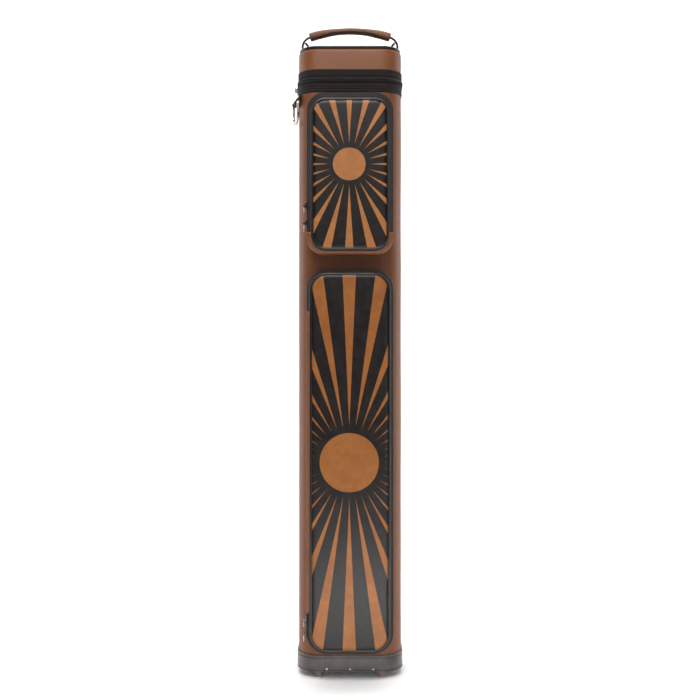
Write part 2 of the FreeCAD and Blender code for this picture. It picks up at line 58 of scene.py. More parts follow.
import bmesh
import bpy
import numpy as np
from mathutils import Vector

scene = bpy.context.scene
MM = 0.001

# ---------------------------------------------------------------- driving dimensions
CASE_HALF_W, CASE_HALF_D, CASE_R = 71.5, 48.0, 30.0
FLAT_HALF_W = CASE_HALF_W - CASE_R      # flat part of the front and back
SPLIT_Z, LID_TOP = 824.0, 868.0         # where lid and case meet; top of the lid skin
LID_PANEL_TOP = 870.6
PIPE_R = 2.1
STRAP_HALF_W = 37.8                     # leather strap hinging the lid
TAPE_INSET = 1.65                       # pocket zip tape inside the pocket wall
boot_lo, boot_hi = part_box("base_boot")
BOOT_Z, BOOT_OUT = boot_lo[2] * 1000, boot_hi[0] * 1000 - CASE_HALF_W
SKIN_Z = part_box("body_cover")[0][2] * 1000

# Wall and face outlines, then the depths in y of the face, the zip's middle and the wall's edge.
# zip_ends: height and "on the left side" for both ends, anticlockwise seen from the front.
# hinge: start and end of the leather fold's bend in m, from the y of its two edges.
SMALL = SimpleNamespace(
    name="small", half_w=59.0, z0=582.0, z1=802.0, radius=24.0,
    face_half_w=52.8, face_z0=586.3, face_z1=792.0, face_radius=20.0,
    front_y=-84.0, chain_y=-71.0, band_y=-56.0,
    zip_ends=((611.0, False), (611.0, True)), piping_seed=41,
    hinge=lambda wall_y, flap_y: ((0, (wall_y - 0.2) * MM, 0.5835),
                                  (0, (flap_y + 0.3) * MM, 0.5835)))
LARGE = SimpleNamespace(
    name="large", half_w=59.5, z0=38.0, z1=562.0, radius=28.0,
    face_half_w=55.0, face_z0=42.5, face_z1=557.0, face_radius=25.0,
    front_y=-78.0, chain_y=-65.0, band_y=-54.0,
    zip_ends=((95.0, True), (505.0, True)), piping_seed=42,
    hinge=lambda wall_y, flap_y: ((-0.0595, wall_y * MM, 0.3),
                                  (-0.0560, (flap_y + 0.6) * MM, 0.3)))


# ---------------------------------------------------------------- arrays of points
def smoothstep(t):
    t = np.clip(t, 0, 1)
    return t * t * (3 - 2 * t)


def ripple(points, wavelength, seed, terms=9):
    """Smooth seeded noise, about -1..1, with the given wavelength."""
    draw = np.random.default_rng(seed)
    points = np.asarray(points, float)
    total = np.zeros(points.shape[:-1])
    for _ in range(terms):
        direction = draw.normal(size=3)
        direction /= np.linalg.norm(direction)
        frequency = 2 * math.pi / (wavelength * draw.uniform(0.6, 1.7))
        total += np.sin(points @ direction * frequency + draw.uniform(0, 6.3))
    return total / math.sqrt(terms)


def unit(vectors):
    return vectors / np.linalg.norm(vectors, axis=-1, keepdims=True)


def xyz(x, y, z):
    return np.stack(np.broadcast_arrays(x, y, z), -1)


def on_plan(flat, z):
    """Outline points in x, y at height z."""
    return xyz(flat[..., 0], flat[..., 1], z)


def on_front(flat, y):
    """Outline points in x, z at depth y."""
    return xyz(flat[..., 0], y, flat[..., 1])


def between(a, b, u):
    return a * (1 - u) + b * u


def turn(sides):
    """Angles of a full turn."""
    return np.arange(sides) * 2 * math.pi / sides


def tangents(path, closed):
    if closed:
        return unit(np.roll(path, -1, 0) - np.roll(path, 1, 0))
    return unit(np.gradient(path, axis=0))


def side_and_up(path, closed=False, ref=(0, 1, 0)):
    """Two directions square to the path, set by a reference direction."""
    tangent = tangents(path, closed)
    side = unit(np.cross(tangent, np.array(ref, float)))
    return side, np.cross(side, tangent)


def run_lengths(path):
    return np.concatenate([[0], np.cumsum(np.linalg.norm(np.diff(path, axis=0), axis=1))])


def at_lengths(table, lengths, wanted):
    return np.stack([np.interp(wanted, lengths, column) for column in table.T], 1)


def resample(path, step, closed=False):
    if closed:
        path = np.vstack([path, path[:1]])
    lengths = run_lengths(path)
    count = max(2, int(round(lengths[-1] / step)))
    out = at_lengths(path, lengths, np.linspace(0, lengths[-1], count + 1))
    return out[:-1] if closed else out


def bezier(controls, count):
    controls = np.array(controls, float)
    t = np.linspace(0, 1, count)[:, None]
    n = len(controls) - 1
    return sum(math.comb(n, i) * t ** i * (1 - t) ** (n - i) * controls[i] for i in range(n + 1))


# ---------------------------------------------------------------- meshes as (verts, faces)
def grid_faces(n, m, wrap_n=False, wrap_m=False, base=0):
    i = np.arange(n if wrap_n else n - 1)
    j = np.arange(m if wrap_m else m - 1)
    a, b = np.meshgrid(i, j, indexing="ij")
    a2, b2 = (a + 1) % n, (b + 1) % m
    quads = np.stack([a * m + b, a2 * m + b, a2 * m + b2, a * m + b2], -1).reshape(-1, 4)
    return (quads + base).tolist()


def build(name, parts, material, body=None, replaces=(), sharp=None):
    """One mesh object from parts in mm, with its normals facing outwards."""
    verts, faces, base = [], [], 0
    for part_verts, part_faces in parts:
        part_verts = np.asarray(part_verts, float).reshape(-1, 3)
        verts.append(part_verts)
        faces += [[i + base for i in face] for face in part_faces]
        base += len(part_verts)
    mesh = bpy.data.meshes.new(name)
    mesh.from_pydata((np.concatenate(verts) * MM).tolist(), [], faces)
    bm = bmesh.new()
    bm.from_mesh(mesh)
    bmesh.ops.recalc_face_normals(bm, faces=bm.faces)
    bm.to_mesh(mesh)
    bm.free()
    mesh.shade_smooth()
    if sharp:
        mesh.set_sharp_from_angle(angle=math.radians(sharp))
    ob = bpy.data.objects.new(name, mesh)
    scene.collection.objects.link(ob)
    mesh.materials.append(material)
    if body:
        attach(ob, body)
    if replaces:
        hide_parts(*replaces)
    return ob


def loft(sections, closed=True):
    """Skin over closed sections [n, m, 3]; an open run gets end caps."""
    n, m = sections.shape[:2]
    faces = grid_faces(n, m, closed, True)
    if not closed:
        faces += [list(range(m))[::-1], [(n - 1) * m + j for j in range(m)]]
    return sections.reshape(-1, 3), faces


def sheet(front, back):
    """Front and back grids [n, m, 3] joined round their rim."""
    n, m = front.shape[:2]
    count = n * m
    index = np.arange(count).reshape(n, m)
    rim = np.concatenate([index[:, 0], index[-1, 1:], index[-2::-1, -1], index[0, -2:0:-1]])
    after = np.roll(rim, -1)
    faces = grid_faces(n, m) + [quad[::-1] for quad in grid_faces(n, m, base=count)]
    faces += np.stack([rim, after, after + count, rim + count], -1).tolist()
    return np.concatenate([front.reshape(-1, 3), back.reshape(-1, 3)]), faces


def tube(path, radius, sides=8, closed=False, ref=(0, 1, 0)):
    side, up = side_and_up(path, closed, ref)
    a = turn(sides)[None, :, None]
    radius = np.broadcast_to(radius, len(path))[:, None, None]
    rim = side[:, None] * np.cos(a) + up[:, None] * np.sin(a)
    return loft(path[:, None] + rim * radius, closed)


def bead(length, radius_v, radius_w, flat):
    """Thread bead along u with rounded ends."""
    rings, sides = 5, 8
    verts = []
    for i in range(rings):
        t = -1 + 2 * (i + 0.5) / rings
        k = (1 - abs(t) ** 3) ** flat
        verts += [(t * length / 2, math.cos(a) * radius_v * k, math.sin(a) * radius_w * k)
                  for a in turn(sides)]
    faces = grid_faces(rings, sides, False, True)
    tip, last = len(verts), (rings - 1) * sides
    verts += [(-length / 2, 0, 0), (length / 2, 0, 0)]
    faces += [[tip, (j + 1) % sides, j] for j in range(sides)]
    faces += [[tip + 1, last + j, last + (j + 1) % sides] for j in range(sides)]
    return np.array(verts), faces


def copies(shape, at, u, v, w):
    """Copies of a small mesh at many points, each with its own axes u, v, w."""
    base, base_faces = shape
    verts = (at[:, None] + u[:, None] * base[None, :, 0:1] + v[:, None] * base[None, :, 1:2]
             + w[:, None] * base[None, :, 2:3])
    by_size = {}
    for face in base_faces:
        by_size.setdefault(len(face), []).append(face)
    shift = (np.arange(len(at)) * len(base))[:, None, None]
    faces = []
    for size, group in by_size.items():
        faces += (np.array(group)[None] + shift).reshape(-1, size).tolist()
    return verts.reshape(-1, 3), faces


def stitch_row(path, normals, pitch, length, radius, closed):
    """Thread beads along a polyline lying on a surface."""
    table = np.hstack([path, np.broadcast_to(normals, path.shape)])
    table = resample(table, pitch, closed)
    at, normal = table[:, :3], unit(table[:, 3:])
    along = tangents(at, closed)
    across = unit(np.cross(normal, along))
    sink = 0.05
    return copies(bead(length, radius, radius * 0.85, flat=0.55),
                  at + normal * (radius * 0.5 - sink), along, across, normal)


def stitches(name, lines, size, thread, body, closed=False):
    """lines: (points, normals) pairs. size: pitch, thread length, thread radius."""
    rows = [stitch_row(path, normals, *size, closed) for path, normals in lines]
    build(name, rows, thread, body)


# ---------------------------------------------------------------- rounded outlines
class Outline:
    """Rounded rectangle. k runs 0..9 anticlockwise from the middle of the lower side, one per
    stretch: 0 lower right half, 1 corner, 2 right side, 3 corner, 4 upper side, 5 corner,
    6 left side, 7 corner, 8 lower left half."""

    def __init__(self, half_w, half_h, r, mid_v=0.0, mid_u=0.0):
        self.half_w, self.half_h, self.r = half_w, half_h, r
        self.mid_u, self.mid_v = mid_u, mid_v
        self.x, self.y = half_w - r, half_h - r     # corner centres
        x, y, quarter = self.x, self.y, r * math.pi / 2
        self.lengths = np.array([x, quarter, 2 * y, quarter, 2 * x, quarter, 2 * y, quarter, x])

    def grown(self, by):
        return Outline(self.half_w + by, self.half_h + by, max(self.r + by, 0.4),
                       self.mid_v, self.mid_u)

    def at(self, k):
        """Points and outward normals at k."""
        k = np.mod(np.asarray(k, float), 9.0)
        stretch = np.minimum(k.astype(int), 8)
        t = k - stretch
        w, h, x, y = self.half_w, self.half_h, self.x, self.y
        points, normals = np.zeros(k.shape + (2,)), np.zeros(k.shape + (2,))
        # stretch, start, end, normal
        for i, start, end, normal in ((0, (0, -h), (x, -h), (0, -1)), (2, (w, -y), (w, y), (1, 0)),
                                      (4, (x, h), (-x, h), (0, 1)), (6, (-w, y), (-w, -y), (-1, 0)),
                                      (8, (-x, -h), (0, -h), (0, -1))):
            on = stretch == i
            points[on] = np.array(start) + (np.array(end) - np.array(start)) * t[on][:, None]
            normals[on] = normal
        for i, centre in ((1, (x, -y)), (3, (x, y)), (5, (-x, y)), (7, (-x, -y))):
            on = stretch == i
            a = (i - 3) * math.pi / 4 + t[on] * math.pi / 2
            normals[on] = np.stack([np.cos(a), np.sin(a)], -1)
            points[on] = np.array(centre) + normals[on] * self.r
        return points + (self.mid_u, self.mid_v), normals

    def ks(self, step, k0=0.0, k1=9.0, arc_step=None, extra=()):
        """k values with about equal spacing; a full turn leaves out the last value."""
        out = []
        for j in range(math.floor(k0), math.ceil(k1)):
            a, b = max(k0, j), min(k1, j + 1)
            i = j % 9
            spacing = (arc_step or step) if i in (1, 3, 5, 7) else step
            n = max(1, round(self.lengths[i] * (b - a) / spacing))
            out += [a + (b - a) * q / n for q in range(n)]
        if abs(k1 - k0 - 9) > 1e-6:
            out.append(k1)
        return np.array(sorted(set(out + list(extra))))

    def height_to_k(self, v, left):
        """k at height v on the left or right side."""
        t = (v - self.mid_v + self.y) / (2 * self.y)
        return 7 - t if left else 2 + t


def sweep(outline, ks, out, depth, place, closed=True, shape=None):
    """Profile (outwards, depth), fixed [m] or varying [n, m], carried along the outline."""
    points, normals = outline.at(ks)
    out = np.broadcast_to(out, (len(ks), np.shape(out)[-1]))
    depth = np.broadcast_to(depth, out.shape)
    verts = place(points[:, None] + normals[:, None] * out[..., None], depth)
    if shape is not None:
        verts = shape(verts, normals, out, depth)
    return loft(verts, closed)


def bowl(outline, rings, ks, place, shape=None):
    """Stack of outline rings, (outwards, depth), with both ends closed by a face."""
    verts = np.stack([place(outline.grown(out).at(ks)[0], depth) for out, depth in rings])
    if shape is not None:
        verts = shape(verts)
    return loft(verts, False)


def outline_path(outline, ks, out, depth, place):
    """Points and normals of a line that follows the outline."""
    points, normals = outline.at(ks)
    return place(points + normals * out, depth), place(normals, 0.0)


CASE = Outline(CASE_HALF_W, CASE_HALF_D, CASE_R)


# ---------------------------------------------------------------- material toolkit
class Shader:
    """A node material round one Principled shader, in object coordinates."""

    def __init__(self, name):
        self.material = bpy.data.materials.new(name)
        self.material.use_nodes = True
        self.tree = self.material.node_tree
        self.tree.nodes.clear()
        output = self.node("OutputMaterial")
        self.principled = self.node("BsdfPrincipled")
        self.tree.links.new(self.principled.outputs[0], output.inputs[0])
        self.co = self.node("TexCoord").outputs["Object"]

    def node(self, kind, inputs=None, **settings):
        made = self.tree.nodes.new("ShaderNode" + kind)
        for key, value in settings.items():
            setattr(made, key, value)
        for key, value in (inputs or {}).items():
            self.feed(value, made.inputs[key])
        return made

    def feed(self, value, socket):
        if isinstance(value, bpy.types.NodeSocket):
            self.tree.links.new(value, socket)
        else:
            socket.default_value = value

    def surface(self, **inputs):
        for key, value in inputs.items():
            self.feed(value, self.principled.inputs[key.replace("_", " ")])
        return self.material

    def math(self, operation, a, b=0.0, c=None, clamp=False):
        inputs = {0: a, 1: b} if c is None else {0: a, 1: b, 2: c}
        return self.node("Math", inputs, operation=operation, use_clamp=clamp).outputs[0]

    def times(self, a, b):
        return self.math("MULTIPLY", a, b)

    def times_plus(self, a, b, c):
        return self.math("MULTIPLY_ADD", a, b, c)

    def plus(self, a, b):
        return self.math("ADD", a, b)

    def minus(self, a, b):
        return self.math("SUBTRACT", a, b)

    def axes(self):
        return self.node("SeparateXYZ", {0: self.co}).outputs

    def span(self, value, between, to=(0.0, 1.0), smooth=False):
        """Value from one range to another, clamped."""
        inputs = {"Value": value, "From Min": between[0], "From Max": between[1],
                  "To Min": to[0], "To Max": to[1]}
        kind = "SMOOTHSTEP" if smooth else "LINEAR"
        return self.node("MapRange", inputs, interpolation_type=kind, clamp=True).outputs["Result"]

    def tint(self, base, over, mask, between=None, amount=None):
        """Base colour going over to another where the mask rises."""
        if between:
            mask = self.span(mask, between)
        if amount:
            mask = self.times(mask, amount)
        base, over = ((*c, 1) if isinstance(c, tuple) else c for c in (base, over))
        return self.node("Mix", {"Factor": mask, 6: base, 7: over}, data_type="RGBA").outputs[2]

    def noise(self, scale, detail=3.0, rough=0.55, stretch=None, distortion=0.0):
        co = self.co
        if stretch:
            co = self.node("Mapping", {0: co, "Scale": stretch}).outputs[0]
        inputs = {"Vector": co, "Scale": scale, "Detail": detail, "Roughness": rough,
                  "Distortion": distortion}
        return self.node("TexNoise", inputs).outputs[0]

    def voronoi(self, scale, feature, co=None):
        inputs = {"Vector": co or self.co, "Scale": scale}
        return self.node("TexVoronoi", inputs, feature=feature).outputs["Distance"]

    def bump(self, height, strength, distance, over=None):
        inputs = {"Height": height, "Strength": strength, "Distance": distance}
        if over is not None:
            inputs["Normal"] = over
        return self.node("Bump", inputs).outputs["Normal"]

    def edges(self):
        return self.node("NewGeometry").outputs["Pointiness"]

    def grain(self, cell):
        """Pebbled height (cells with soft creases plus fine pores) and the crease mask."""
        jitter = self.node("TexNoise", {"Vector": self.co, "Scale": cell * 0.45}).outputs["Color"]
        co = self.node("VectorMath", {0: jitter, 1: (0.55 / cell,) * 3, 2: self.co},
                       operation="MULTIPLY_ADD").outputs[0]
        crease = self.span(self.voronoi(cell, "DISTANCE_TO_EDGE", co), between=(0.0, 0.22),
                           smooth=True)
        pores = self.span(self.voronoi(3200.0, "F1", co), between=(0.1, 0.7), to=(1.0, 0.0))
        return self.times_plus(pores, 0.25, self.times(crease, 0.75)), crease


def srgb(*channels):
    """Linear colour from 0..255 channels."""
    def linear(c):
        return (c / 255 / 12.92) if c / 255 <= 0.04045 else ((c / 255 + 0.055) / 1.055) ** 2.4
    return tuple(linear(c) for c in channels)


# ---------------------------------------------------------------- materials
def leather(name, base, dark, light, rough, cell, bump, coat=0.0, streak=True):
    m = Shader(name)
    height, crease = m.grain(cell)
    big = m.noise(11.0, detail=4, rough=0.6)
    mid = m.noise(95.0, detail=4, rough=0.6, distortion=0.6)
    colour = m.tint(base, dark, big, between=(0.36, 0.66))
    colour = m.tint(colour, light, mid, between=(0.45, 0.75), amount=0.45)
    if streak:  # faint wipes along the length
        wipe = m.noise(26.0, detail=3, rough=0.5, stretch=(1, 1, 0.12))
        colour = m.tint(colour, light, wipe, between=(0.5, 0.78), amount=0.25)
    colour = m.tint(colour, dark, m.minus(1.0, crease), amount=0.42)
    colour = m.tint(colour, light, m.edges(), between=(0.53, 0.62), amount=0.35)
    roughness = m.span(mid, between=(0.3, 0.7), to=rough)
    crease_rough = 0.12
    roughness = m.times_plus(m.minus(1.0, crease), crease_rough, roughness)
    if coat:
        m.surface(Coat_Weight=coat, Coat_Roughness=0.42)
    return m.surface(
        Base_Color=colour, Roughness=roughness, Specular_IOR_Level=0.5,
        Normal=m.bump(m.noise(60.0), strength=0.10, distance=0.0006,
                      over=m.bump(height, strength=bump, distance=0.00025)))


def piping_leather():
    m = Shader("piping_black")
    fine = m.noise(900)
    colour = m.tint(srgb(11, 9, 9), srgb(22, 19, 18), m.noise(60), between=(0.4, 0.7))
    colour = m.tint(colour, srgb(52, 48, 46), m.edges(), between=(0.55, 0.66), amount=0.12)
    return m.surface(
        Base_Color=colour, Specular_IOR_Level=0.42,
        Roughness=m.span(fine, between=(0.3, 0.7), to=(0.27, 0.42)),
        Normal=m.bump(m.voronoi(1500, "DISTANCE_TO_EDGE"), strength=0.12, distance=0.00015,
                      over=m.bump(m.noise(110, detail=2), strength=0.2, distance=0.0005)))


def woven(name, dark, light, thread, rough=0.82):
    """Tight twill: two crossing sets of threads plus fuzz."""
    m = Shader(name)
    x, y, z = m.axes()
    across, frequency = m.plus(x, y), thread * math.pi
    warp = m.math("SINE", m.times(m.plus(across, z), frequency))
    weft = m.math("SINE", m.times(m.minus(across, z), frequency * 0.5))
    weave = m.times_plus(m.times(warp, weft), 0.5, 0.5)
    fuzz = m.noise(thread * 2.2)
    colour = m.tint(dark, light, weave, between=(0.15, 0.85))
    colour = m.tint(colour, light, m.noise(40, detail=4), between=(0.45, 0.75), amount=0.5)
    fuzz_height = 0.35
    height = m.times_plus(fuzz, fuzz_height, weave)
    return m.surface(
        Base_Color=colour, Specular_IOR_Level=0.2, Sheen_Weight=0.04, Sheen_Roughness=0.5,
        Roughness=m.span(fuzz, between=(0.3, 0.7), to=(rough - 0.08, rough + 0.06)),
        Normal=m.bump(height, strength=0.45, distance=0.00025))


def zip_coil_plastic():
    m = Shader("zip_coil")
    n = m.noise(700)
    colour = m.tint(srgb(10, 8, 8), srgb(25, 21, 20), n, between=(0.35, 0.7))
    colour = m.tint(colour, srgb(66, 60, 58), m.edges(), between=(0.55, 0.7), amount=0.3)
    return m.surface(
        Base_Color=colour, Roughness=m.span(n, between=(0.3, 0.7), to=(0.34, 0.5)),
        Specular_IOR_Level=0.5,
        Normal=m.bump(m.noise(2600, detail=2), strength=0.2, distance=0.0001))


def thread(name, dark, light):
    m = Shader(name)
    x, y, z = m.axes()
    twist_frequency = 14000.0
    twist = m.math("SINE", m.times(m.plus(m.plus(x, y), z), twist_frequency))
    mask = m.times_plus(twist, 0.5, 0.5)
    return m.surface(
        Base_Color=m.tint(dark, light, mask),
        Roughness=m.span(m.noise(900, detail=2), between=(0.3, 0.7), to=(0.5, 0.7)),
        Normal=m.bump(mask, strength=0.4, distance=0.0001))


def metal(name, base, dark, rough, scratch=0.025):
    m = Shader(name)
    patches = m.noise(260, detail=5, rough=0.65)
    scratches = m.noise(1500, detail=2, rough=0.5, stretch=(1, 1, 0.08))
    bright = tuple(min(1, c * 1.3 + 0.05) for c in base)
    colour = m.tint(base, dark, patches, between=(0.4, 0.72))
    colour = m.tint(colour, bright, m.edges(), between=(0.56, 0.7), amount=0.5)
    scratch_rough = 0.12
    return m.surface(
        Base_Color=colour, Metallic=1.0,
        Roughness=m.plus(m.span(patches, between=(0.35, 0.7), to=rough),
                         m.times(m.span(scratches, between=(0.5, 0.8)), scratch_rough)),
        Normal=m.bump(scratches, strength=scratch, distance=0.0002))


def plastic(name, base, light, rough=(0.4, 0.55), scale=900):
    m = Shader(name)
    fine, big = m.noise(scale), m.noise(30, detail=4)
    worn = tuple(min(1, c * 1.6 + 0.02) for c in light)
    colour = m.tint(base, light, big, between=(0.35, 0.7))
    colour = m.tint(colour, worn, m.edges(), between=(0.53, 0.62), amount=0.35)
    return m.surface(Base_Color=colour, Roughness=m.span(big, between=(0.35, 0.7), to=rough),
                     Normal=m.bump(fine, strength=0.15, distance=0.0002))


def fibreboard():
    m = Shader("fibreboard")
    n = m.noise(900, detail=5, rough=0.7, stretch=(1, 1, 0.3))
    return m.surface(
        Base_Color=m.tint(srgb(146, 118, 84), srgb(104, 80, 54), n, between=(0.35, 0.7)),
        Roughness=m.span(n, between=(0.3, 0.7), to=(0.8, 0.95)),
        Normal=m.bump(n, strength=0.3, distance=0.0003))


def printed(name, centre, disc_r, ray_start, rays, ray_slope, tan, dark, light):
    """Tan leatherette printed black except for a disc and the even rays round it, in mm."""
    m = Shader(name)
    axes = m.axes()
    x, z = m.times(axes[0], 1000.0), m.times(axes[2], 1000.0)
    # uneven print edge, about 0.3 mm either way
    edge = m.times(m.minus(m.noise(420, detail=2), 0.5), 0.55)
    dx, dz = m.minus(x, centre[0]), m.minus(z, centre[1])
    radius = m.math("SQRT", m.plus(m.times(dx, dx), m.times(dz, dz)))
    # angle from the middle of the nearest ray; the first ray points along +x
    rays_round = m.times_plus(m.math("ARCTAN2", dz, dx), rays / (2 * math.pi), 0.0)
    part = m.minus(m.math("FRACT", m.plus(rays_round, 0.5)), 0.5)
    angle = m.times(part, 2 * math.pi / rays)
    aside = m.math("ABSOLUTE", m.times(radius, m.math("SINE", angle)))
    along = m.times(radius, m.math("COSINE", angle))
    wedge = m.minus(m.times(m.minus(along, ray_start), ray_slope), aside)
    ray = m.span(m.plus(wedge, edge), between=(-0.15, 0.15))
    disc = m.span(m.plus(m.minus(disc_r, radius), edge), between=(-0.2, 0.2))
    bare = m.math("MAXIMUM", m.math("MAXIMUM", ray, disc), 0.0, clamp=True)
    ink = m.minus(1.0, bare)
    height, crease = m.grain(1150)
    big, mid = m.noise(14, detail=4, rough=0.6), m.noise(120, detail=4, rough=0.6)
    colour = m.tint(tan, dark, big, between=(0.36, 0.68))
    colour = m.tint(colour, light, mid, between=(0.45, 0.75), amount=0.4)
    colour = m.tint(colour, dark, m.minus(1.0, crease), amount=0.3)
    black = m.tint(srgb(16, 12, 11), srgb(27, 22, 21), mid, between=(0.4, 0.7))
    worn_share = 0.25
    worn = m.times(m.span(m.noise(1900, detail=2), between=(0.66, 0.8)), worn_share)
    ink_left = m.math("MULTIPLY", ink, m.minus(1.0, worn), clamp=True)
    colour = m.tint(colour, black, ink_left)
    ink_rough, ink_height = -0.05, 0.25
    rough = m.times_plus(ink, ink_rough, m.span(mid, between=(0.3, 0.7), to=(0.33, 0.43)))
    return m.surface(
        Base_Color=colour, Roughness=rough, Specular_IOR_Level=0.30,
        Normal=m.bump(m.noise(55), strength=0.12, distance=0.0006,
                      over=m.bump(m.times_plus(ink, ink_height, height),
                                  strength=0.2, distance=0.00022)))


BROWN = leather("leatherette_brown", srgb(116, 68, 35), srgb(101, 55, 25), srgb(130, 82, 49),
                rough=(0.40, 0.52), cell=1000.0, bump=0.22)
BROWN_DARK = leather("leather_grip", srgb(114, 65, 29), srgb(72, 39, 16), srgb(152, 99, 54),
                     rough=(0.36, 0.52), cell=1300, bump=0.30)
BLACK = leather("leatherette_black", srgb(70, 58, 54), srgb(34, 27, 25), srgb(102, 91, 86),
                rough=(0.30, 0.42), cell=640, bump=0.60, coat=0.6, streak=False)
PIPING = piping_leather()
TAPE = woven("zip_tape", srgb(17, 13, 13), srgb(38, 31, 30), thread=1350)
WEB = woven("webbing", srgb(22, 18, 18), srgb(50, 43, 42), thread=800)
LINING = woven("lining", srgb(26, 26, 29), srgb(48, 47, 52), thread=1100, rough=0.9)
COIL = zip_coil_plastic()
THREAD_BLACK = thread("thread_black", srgb(8, 7, 7), srgb(30, 27, 26))
THREAD_BROWN = thread("thread_brown", srgb(74, 45, 27), srgb(120, 82, 56))
BLACK_NICKEL = metal("black_nickel", srgb(78, 75, 72), srgb(36, 34, 33),
                     rough=(0.2, 0.36), scratch=0.05)
NICKEL = metal("nickel", srgb(206, 200, 192), srgb(168, 160, 152), rough=(0.14, 0.28))
GUNMETAL = metal("gunmetal", srgb(132, 128, 124), srgb(64, 61, 59),
                 rough=(0.18, 0.34), scratch=0.05)
STEEL = metal("screw_steel", srgb(96, 94, 92), srgb(60, 58, 56), rough=(0.3, 0.45))
CORE = plastic("moulded_core", srgb(36, 36, 39), srgb(52, 52, 55))
TUBE = plastic("tube_plastic", srgb(30, 31, 34), srgb(44, 45, 49), rough=(0.35, 0.5))
FOAM = plastic("foam", srgb(30, 30, 32), srgb(44, 44, 46), rough=(0.85, 0.95), scale=1600)
RUBBER = plastic("foot_rubber", srgb(92, 78, 72), srgb(112, 98, 91), rough=(0.6, 0.75), scale=1400)
BOARD = fibreboard()
PRINT_SMALL = printed("print_small", centre=(-1.0, 702.0), disc_r=22.0, ray_start=28.0, rays=24,
                      ray_slope=0.066, tan=srgb(158, 103, 58), dark=srgb(141, 88, 45),
                      light=srgb(174, 121, 76))
PRINT_LARGE = printed("print_large", centre=(-1.0, 300.0), disc_r=40.0, ray_start=48.0, rays=36,
                      ray_slope=0.044, tan=srgb(140, 86, 39), dark=srgb(124, 73, 31),
                      light=srgb(158, 104, 55))
CORD = thread("cord_black", srgb(20, 14, 12), srgb(56, 42, 36))
BRAID = thread("core_braid", srgb(52, 39, 32), srgb(104, 85, 72))


# ---------------------------------------------------------------- case skin, lid skin, lid top
def case_skin():
    """Leatherette wrapped round the core, joined down the middle of the back."""
    seam_x = np.array([-3.0, -1.6, -0.75, -0.35, 0.0, 0.35, 0.75, 1.6, 3.0])
    ks = CASE.ks(5.0, arc_step=2.6, extra=list(4.5 + seam_x / (2 * FLAT_HALF_W)))
    points, _ = CASE.at(ks)
    z0, z1 = SKIN_Z, SPLIT_Z - 0.8
    z_outer = np.concatenate([[z0, z0 + 0.5], np.arange(18, 820, 7.0), [z1 - 0.5, z1]])
    z_inner = np.array([z1 - 0.2, 700.0, 400.0, 150.0, z0])
    z = np.concatenate([z_outer, z_inner])
    base = np.concatenate([[-0.35], np.zeros(len(z_outer) - 2), [-0.35],
                           np.full(len(z_inner), -1.2)])
    flat = on_plan(points[:, None], z)
    middle = smoothstep((z - 36) / 20) * smoothstep((800 - z) / 20) * (base > -0.1)
    out = base + (ripple(flat, 105, 1) * 0.10
                  + ripple(flat * (1, 1, 0.35), 34, 2) * 0.045) * middle
    # the seam: a groove with a low swelling on each side
    from_seam = np.abs(points[:, 0])[:, None]
    back = (points[:, 1] > 40)[:, None]
    seam = 0.75 * np.exp(-(from_seam / 0.42) ** 2) - 0.16 * np.exp(-((from_seam - 1.7) / 1.0) ** 2)
    out -= np.where(back, seam, 0) * (base > -0.5)
    build("case_skin", [sweep(CASE, ks, out, z, on_plan)], BROWN, "case",
          ["body_cover"])
    z = np.linspace(40, 798, 300)
    stitches("case_seam_stitches",
             [(xyz(x, CASE_HALF_D + 0.05, z), (0, 1, 0)) for x in (-2.6, 2.6)],
             (3.4, 2.6, 0.34), THREAD_BROWN, "case")


def lid_skin():
    top, r = LID_TOP, 4.0
    arc = [(-r + r * math.cos(a), top - r + r * math.sin(a))
           for a in np.linspace(0, math.pi / 2, 9)]
    # outwards, z: up the outside, then down the inside
    profile = [(-0.35, 824.8), (0.0, 825.3)] + [(0.0, z) for z in np.arange(829, 863, 3.5)]
    profile += arc + [(-8.0, top), (-11.0, top - 0.02)]
    profile += [(-11.0, top - 1.2), (-4.2, top - 1.2), (-1.8, top - 2.6), (-1.2, top - 4.4),
                (-1.2, 845.0), (-1.2, 824.8)]

    def swell(verts, normals, out, z):
        soft = smoothstep((z - 840) / 6) * smoothstep((866 - z) / 4) * (out > -1.0)
        bulge = 0.22 * np.sin(np.clip((z - 840) / 26, 0, 1) * math.pi)
        bulge = (bulge + ripple(verts, 46, 4) * 0.09) * soft
        verts[..., :2] += normals[:, None] * bulge[..., None]
        return verts
    ks = CASE.ks(4.0, arc_step=2.4)
    build("lid_skin", [sweep(CASE, ks, *np.array(profile).T, on_plan, shape=swell)],
          BROWN, "lid", ["lid_cover"])


def lid_top():
    outline, top = CASE.grown(-5.35), LID_PANEL_TOP
    rings = [(-10.0, 868.05), (-0.3, 868.05), (0.0, 868.3), (0.0, 869.5), (-0.25, 870.15),
             (-0.8, 870.5), (-1.6, top)]
    rings += [(-inset, top) for inset in (3, 4.6, 6.4, 9, 12, 16, 20, 25, 30, 36)]

    def crown(verts):
        level = verts[..., 2] > top - 0.05
        over_x = smoothstep((50 - np.abs(verts[..., 0])) / 26)
        over_y = np.clip(1 - (verts[..., 1] / 42) ** 2, 0, 1)
        verts[..., 2] += level * (1.1 * over_x * over_y + ripple(verts, 38, 6) * 0.10 * over_x)
        return verts
    build("lid_top_panel_skin", [bowl(outline, rings, outline.ks(4.0, arc_step=2.6), on_plan,
                                      crown)], BLACK, "lid", ["lid_top_panel"])
    line, _ = outline_path(outline.grown(-2.6), outline.ks(2.5), 0.0, top + 0.02, on_plan)
    stitches("lid_top_stitches", [(line, (0, 0, 1))], (3.0, 2.3, 0.32), THREAD_BLACK, "lid",
             closed=True)


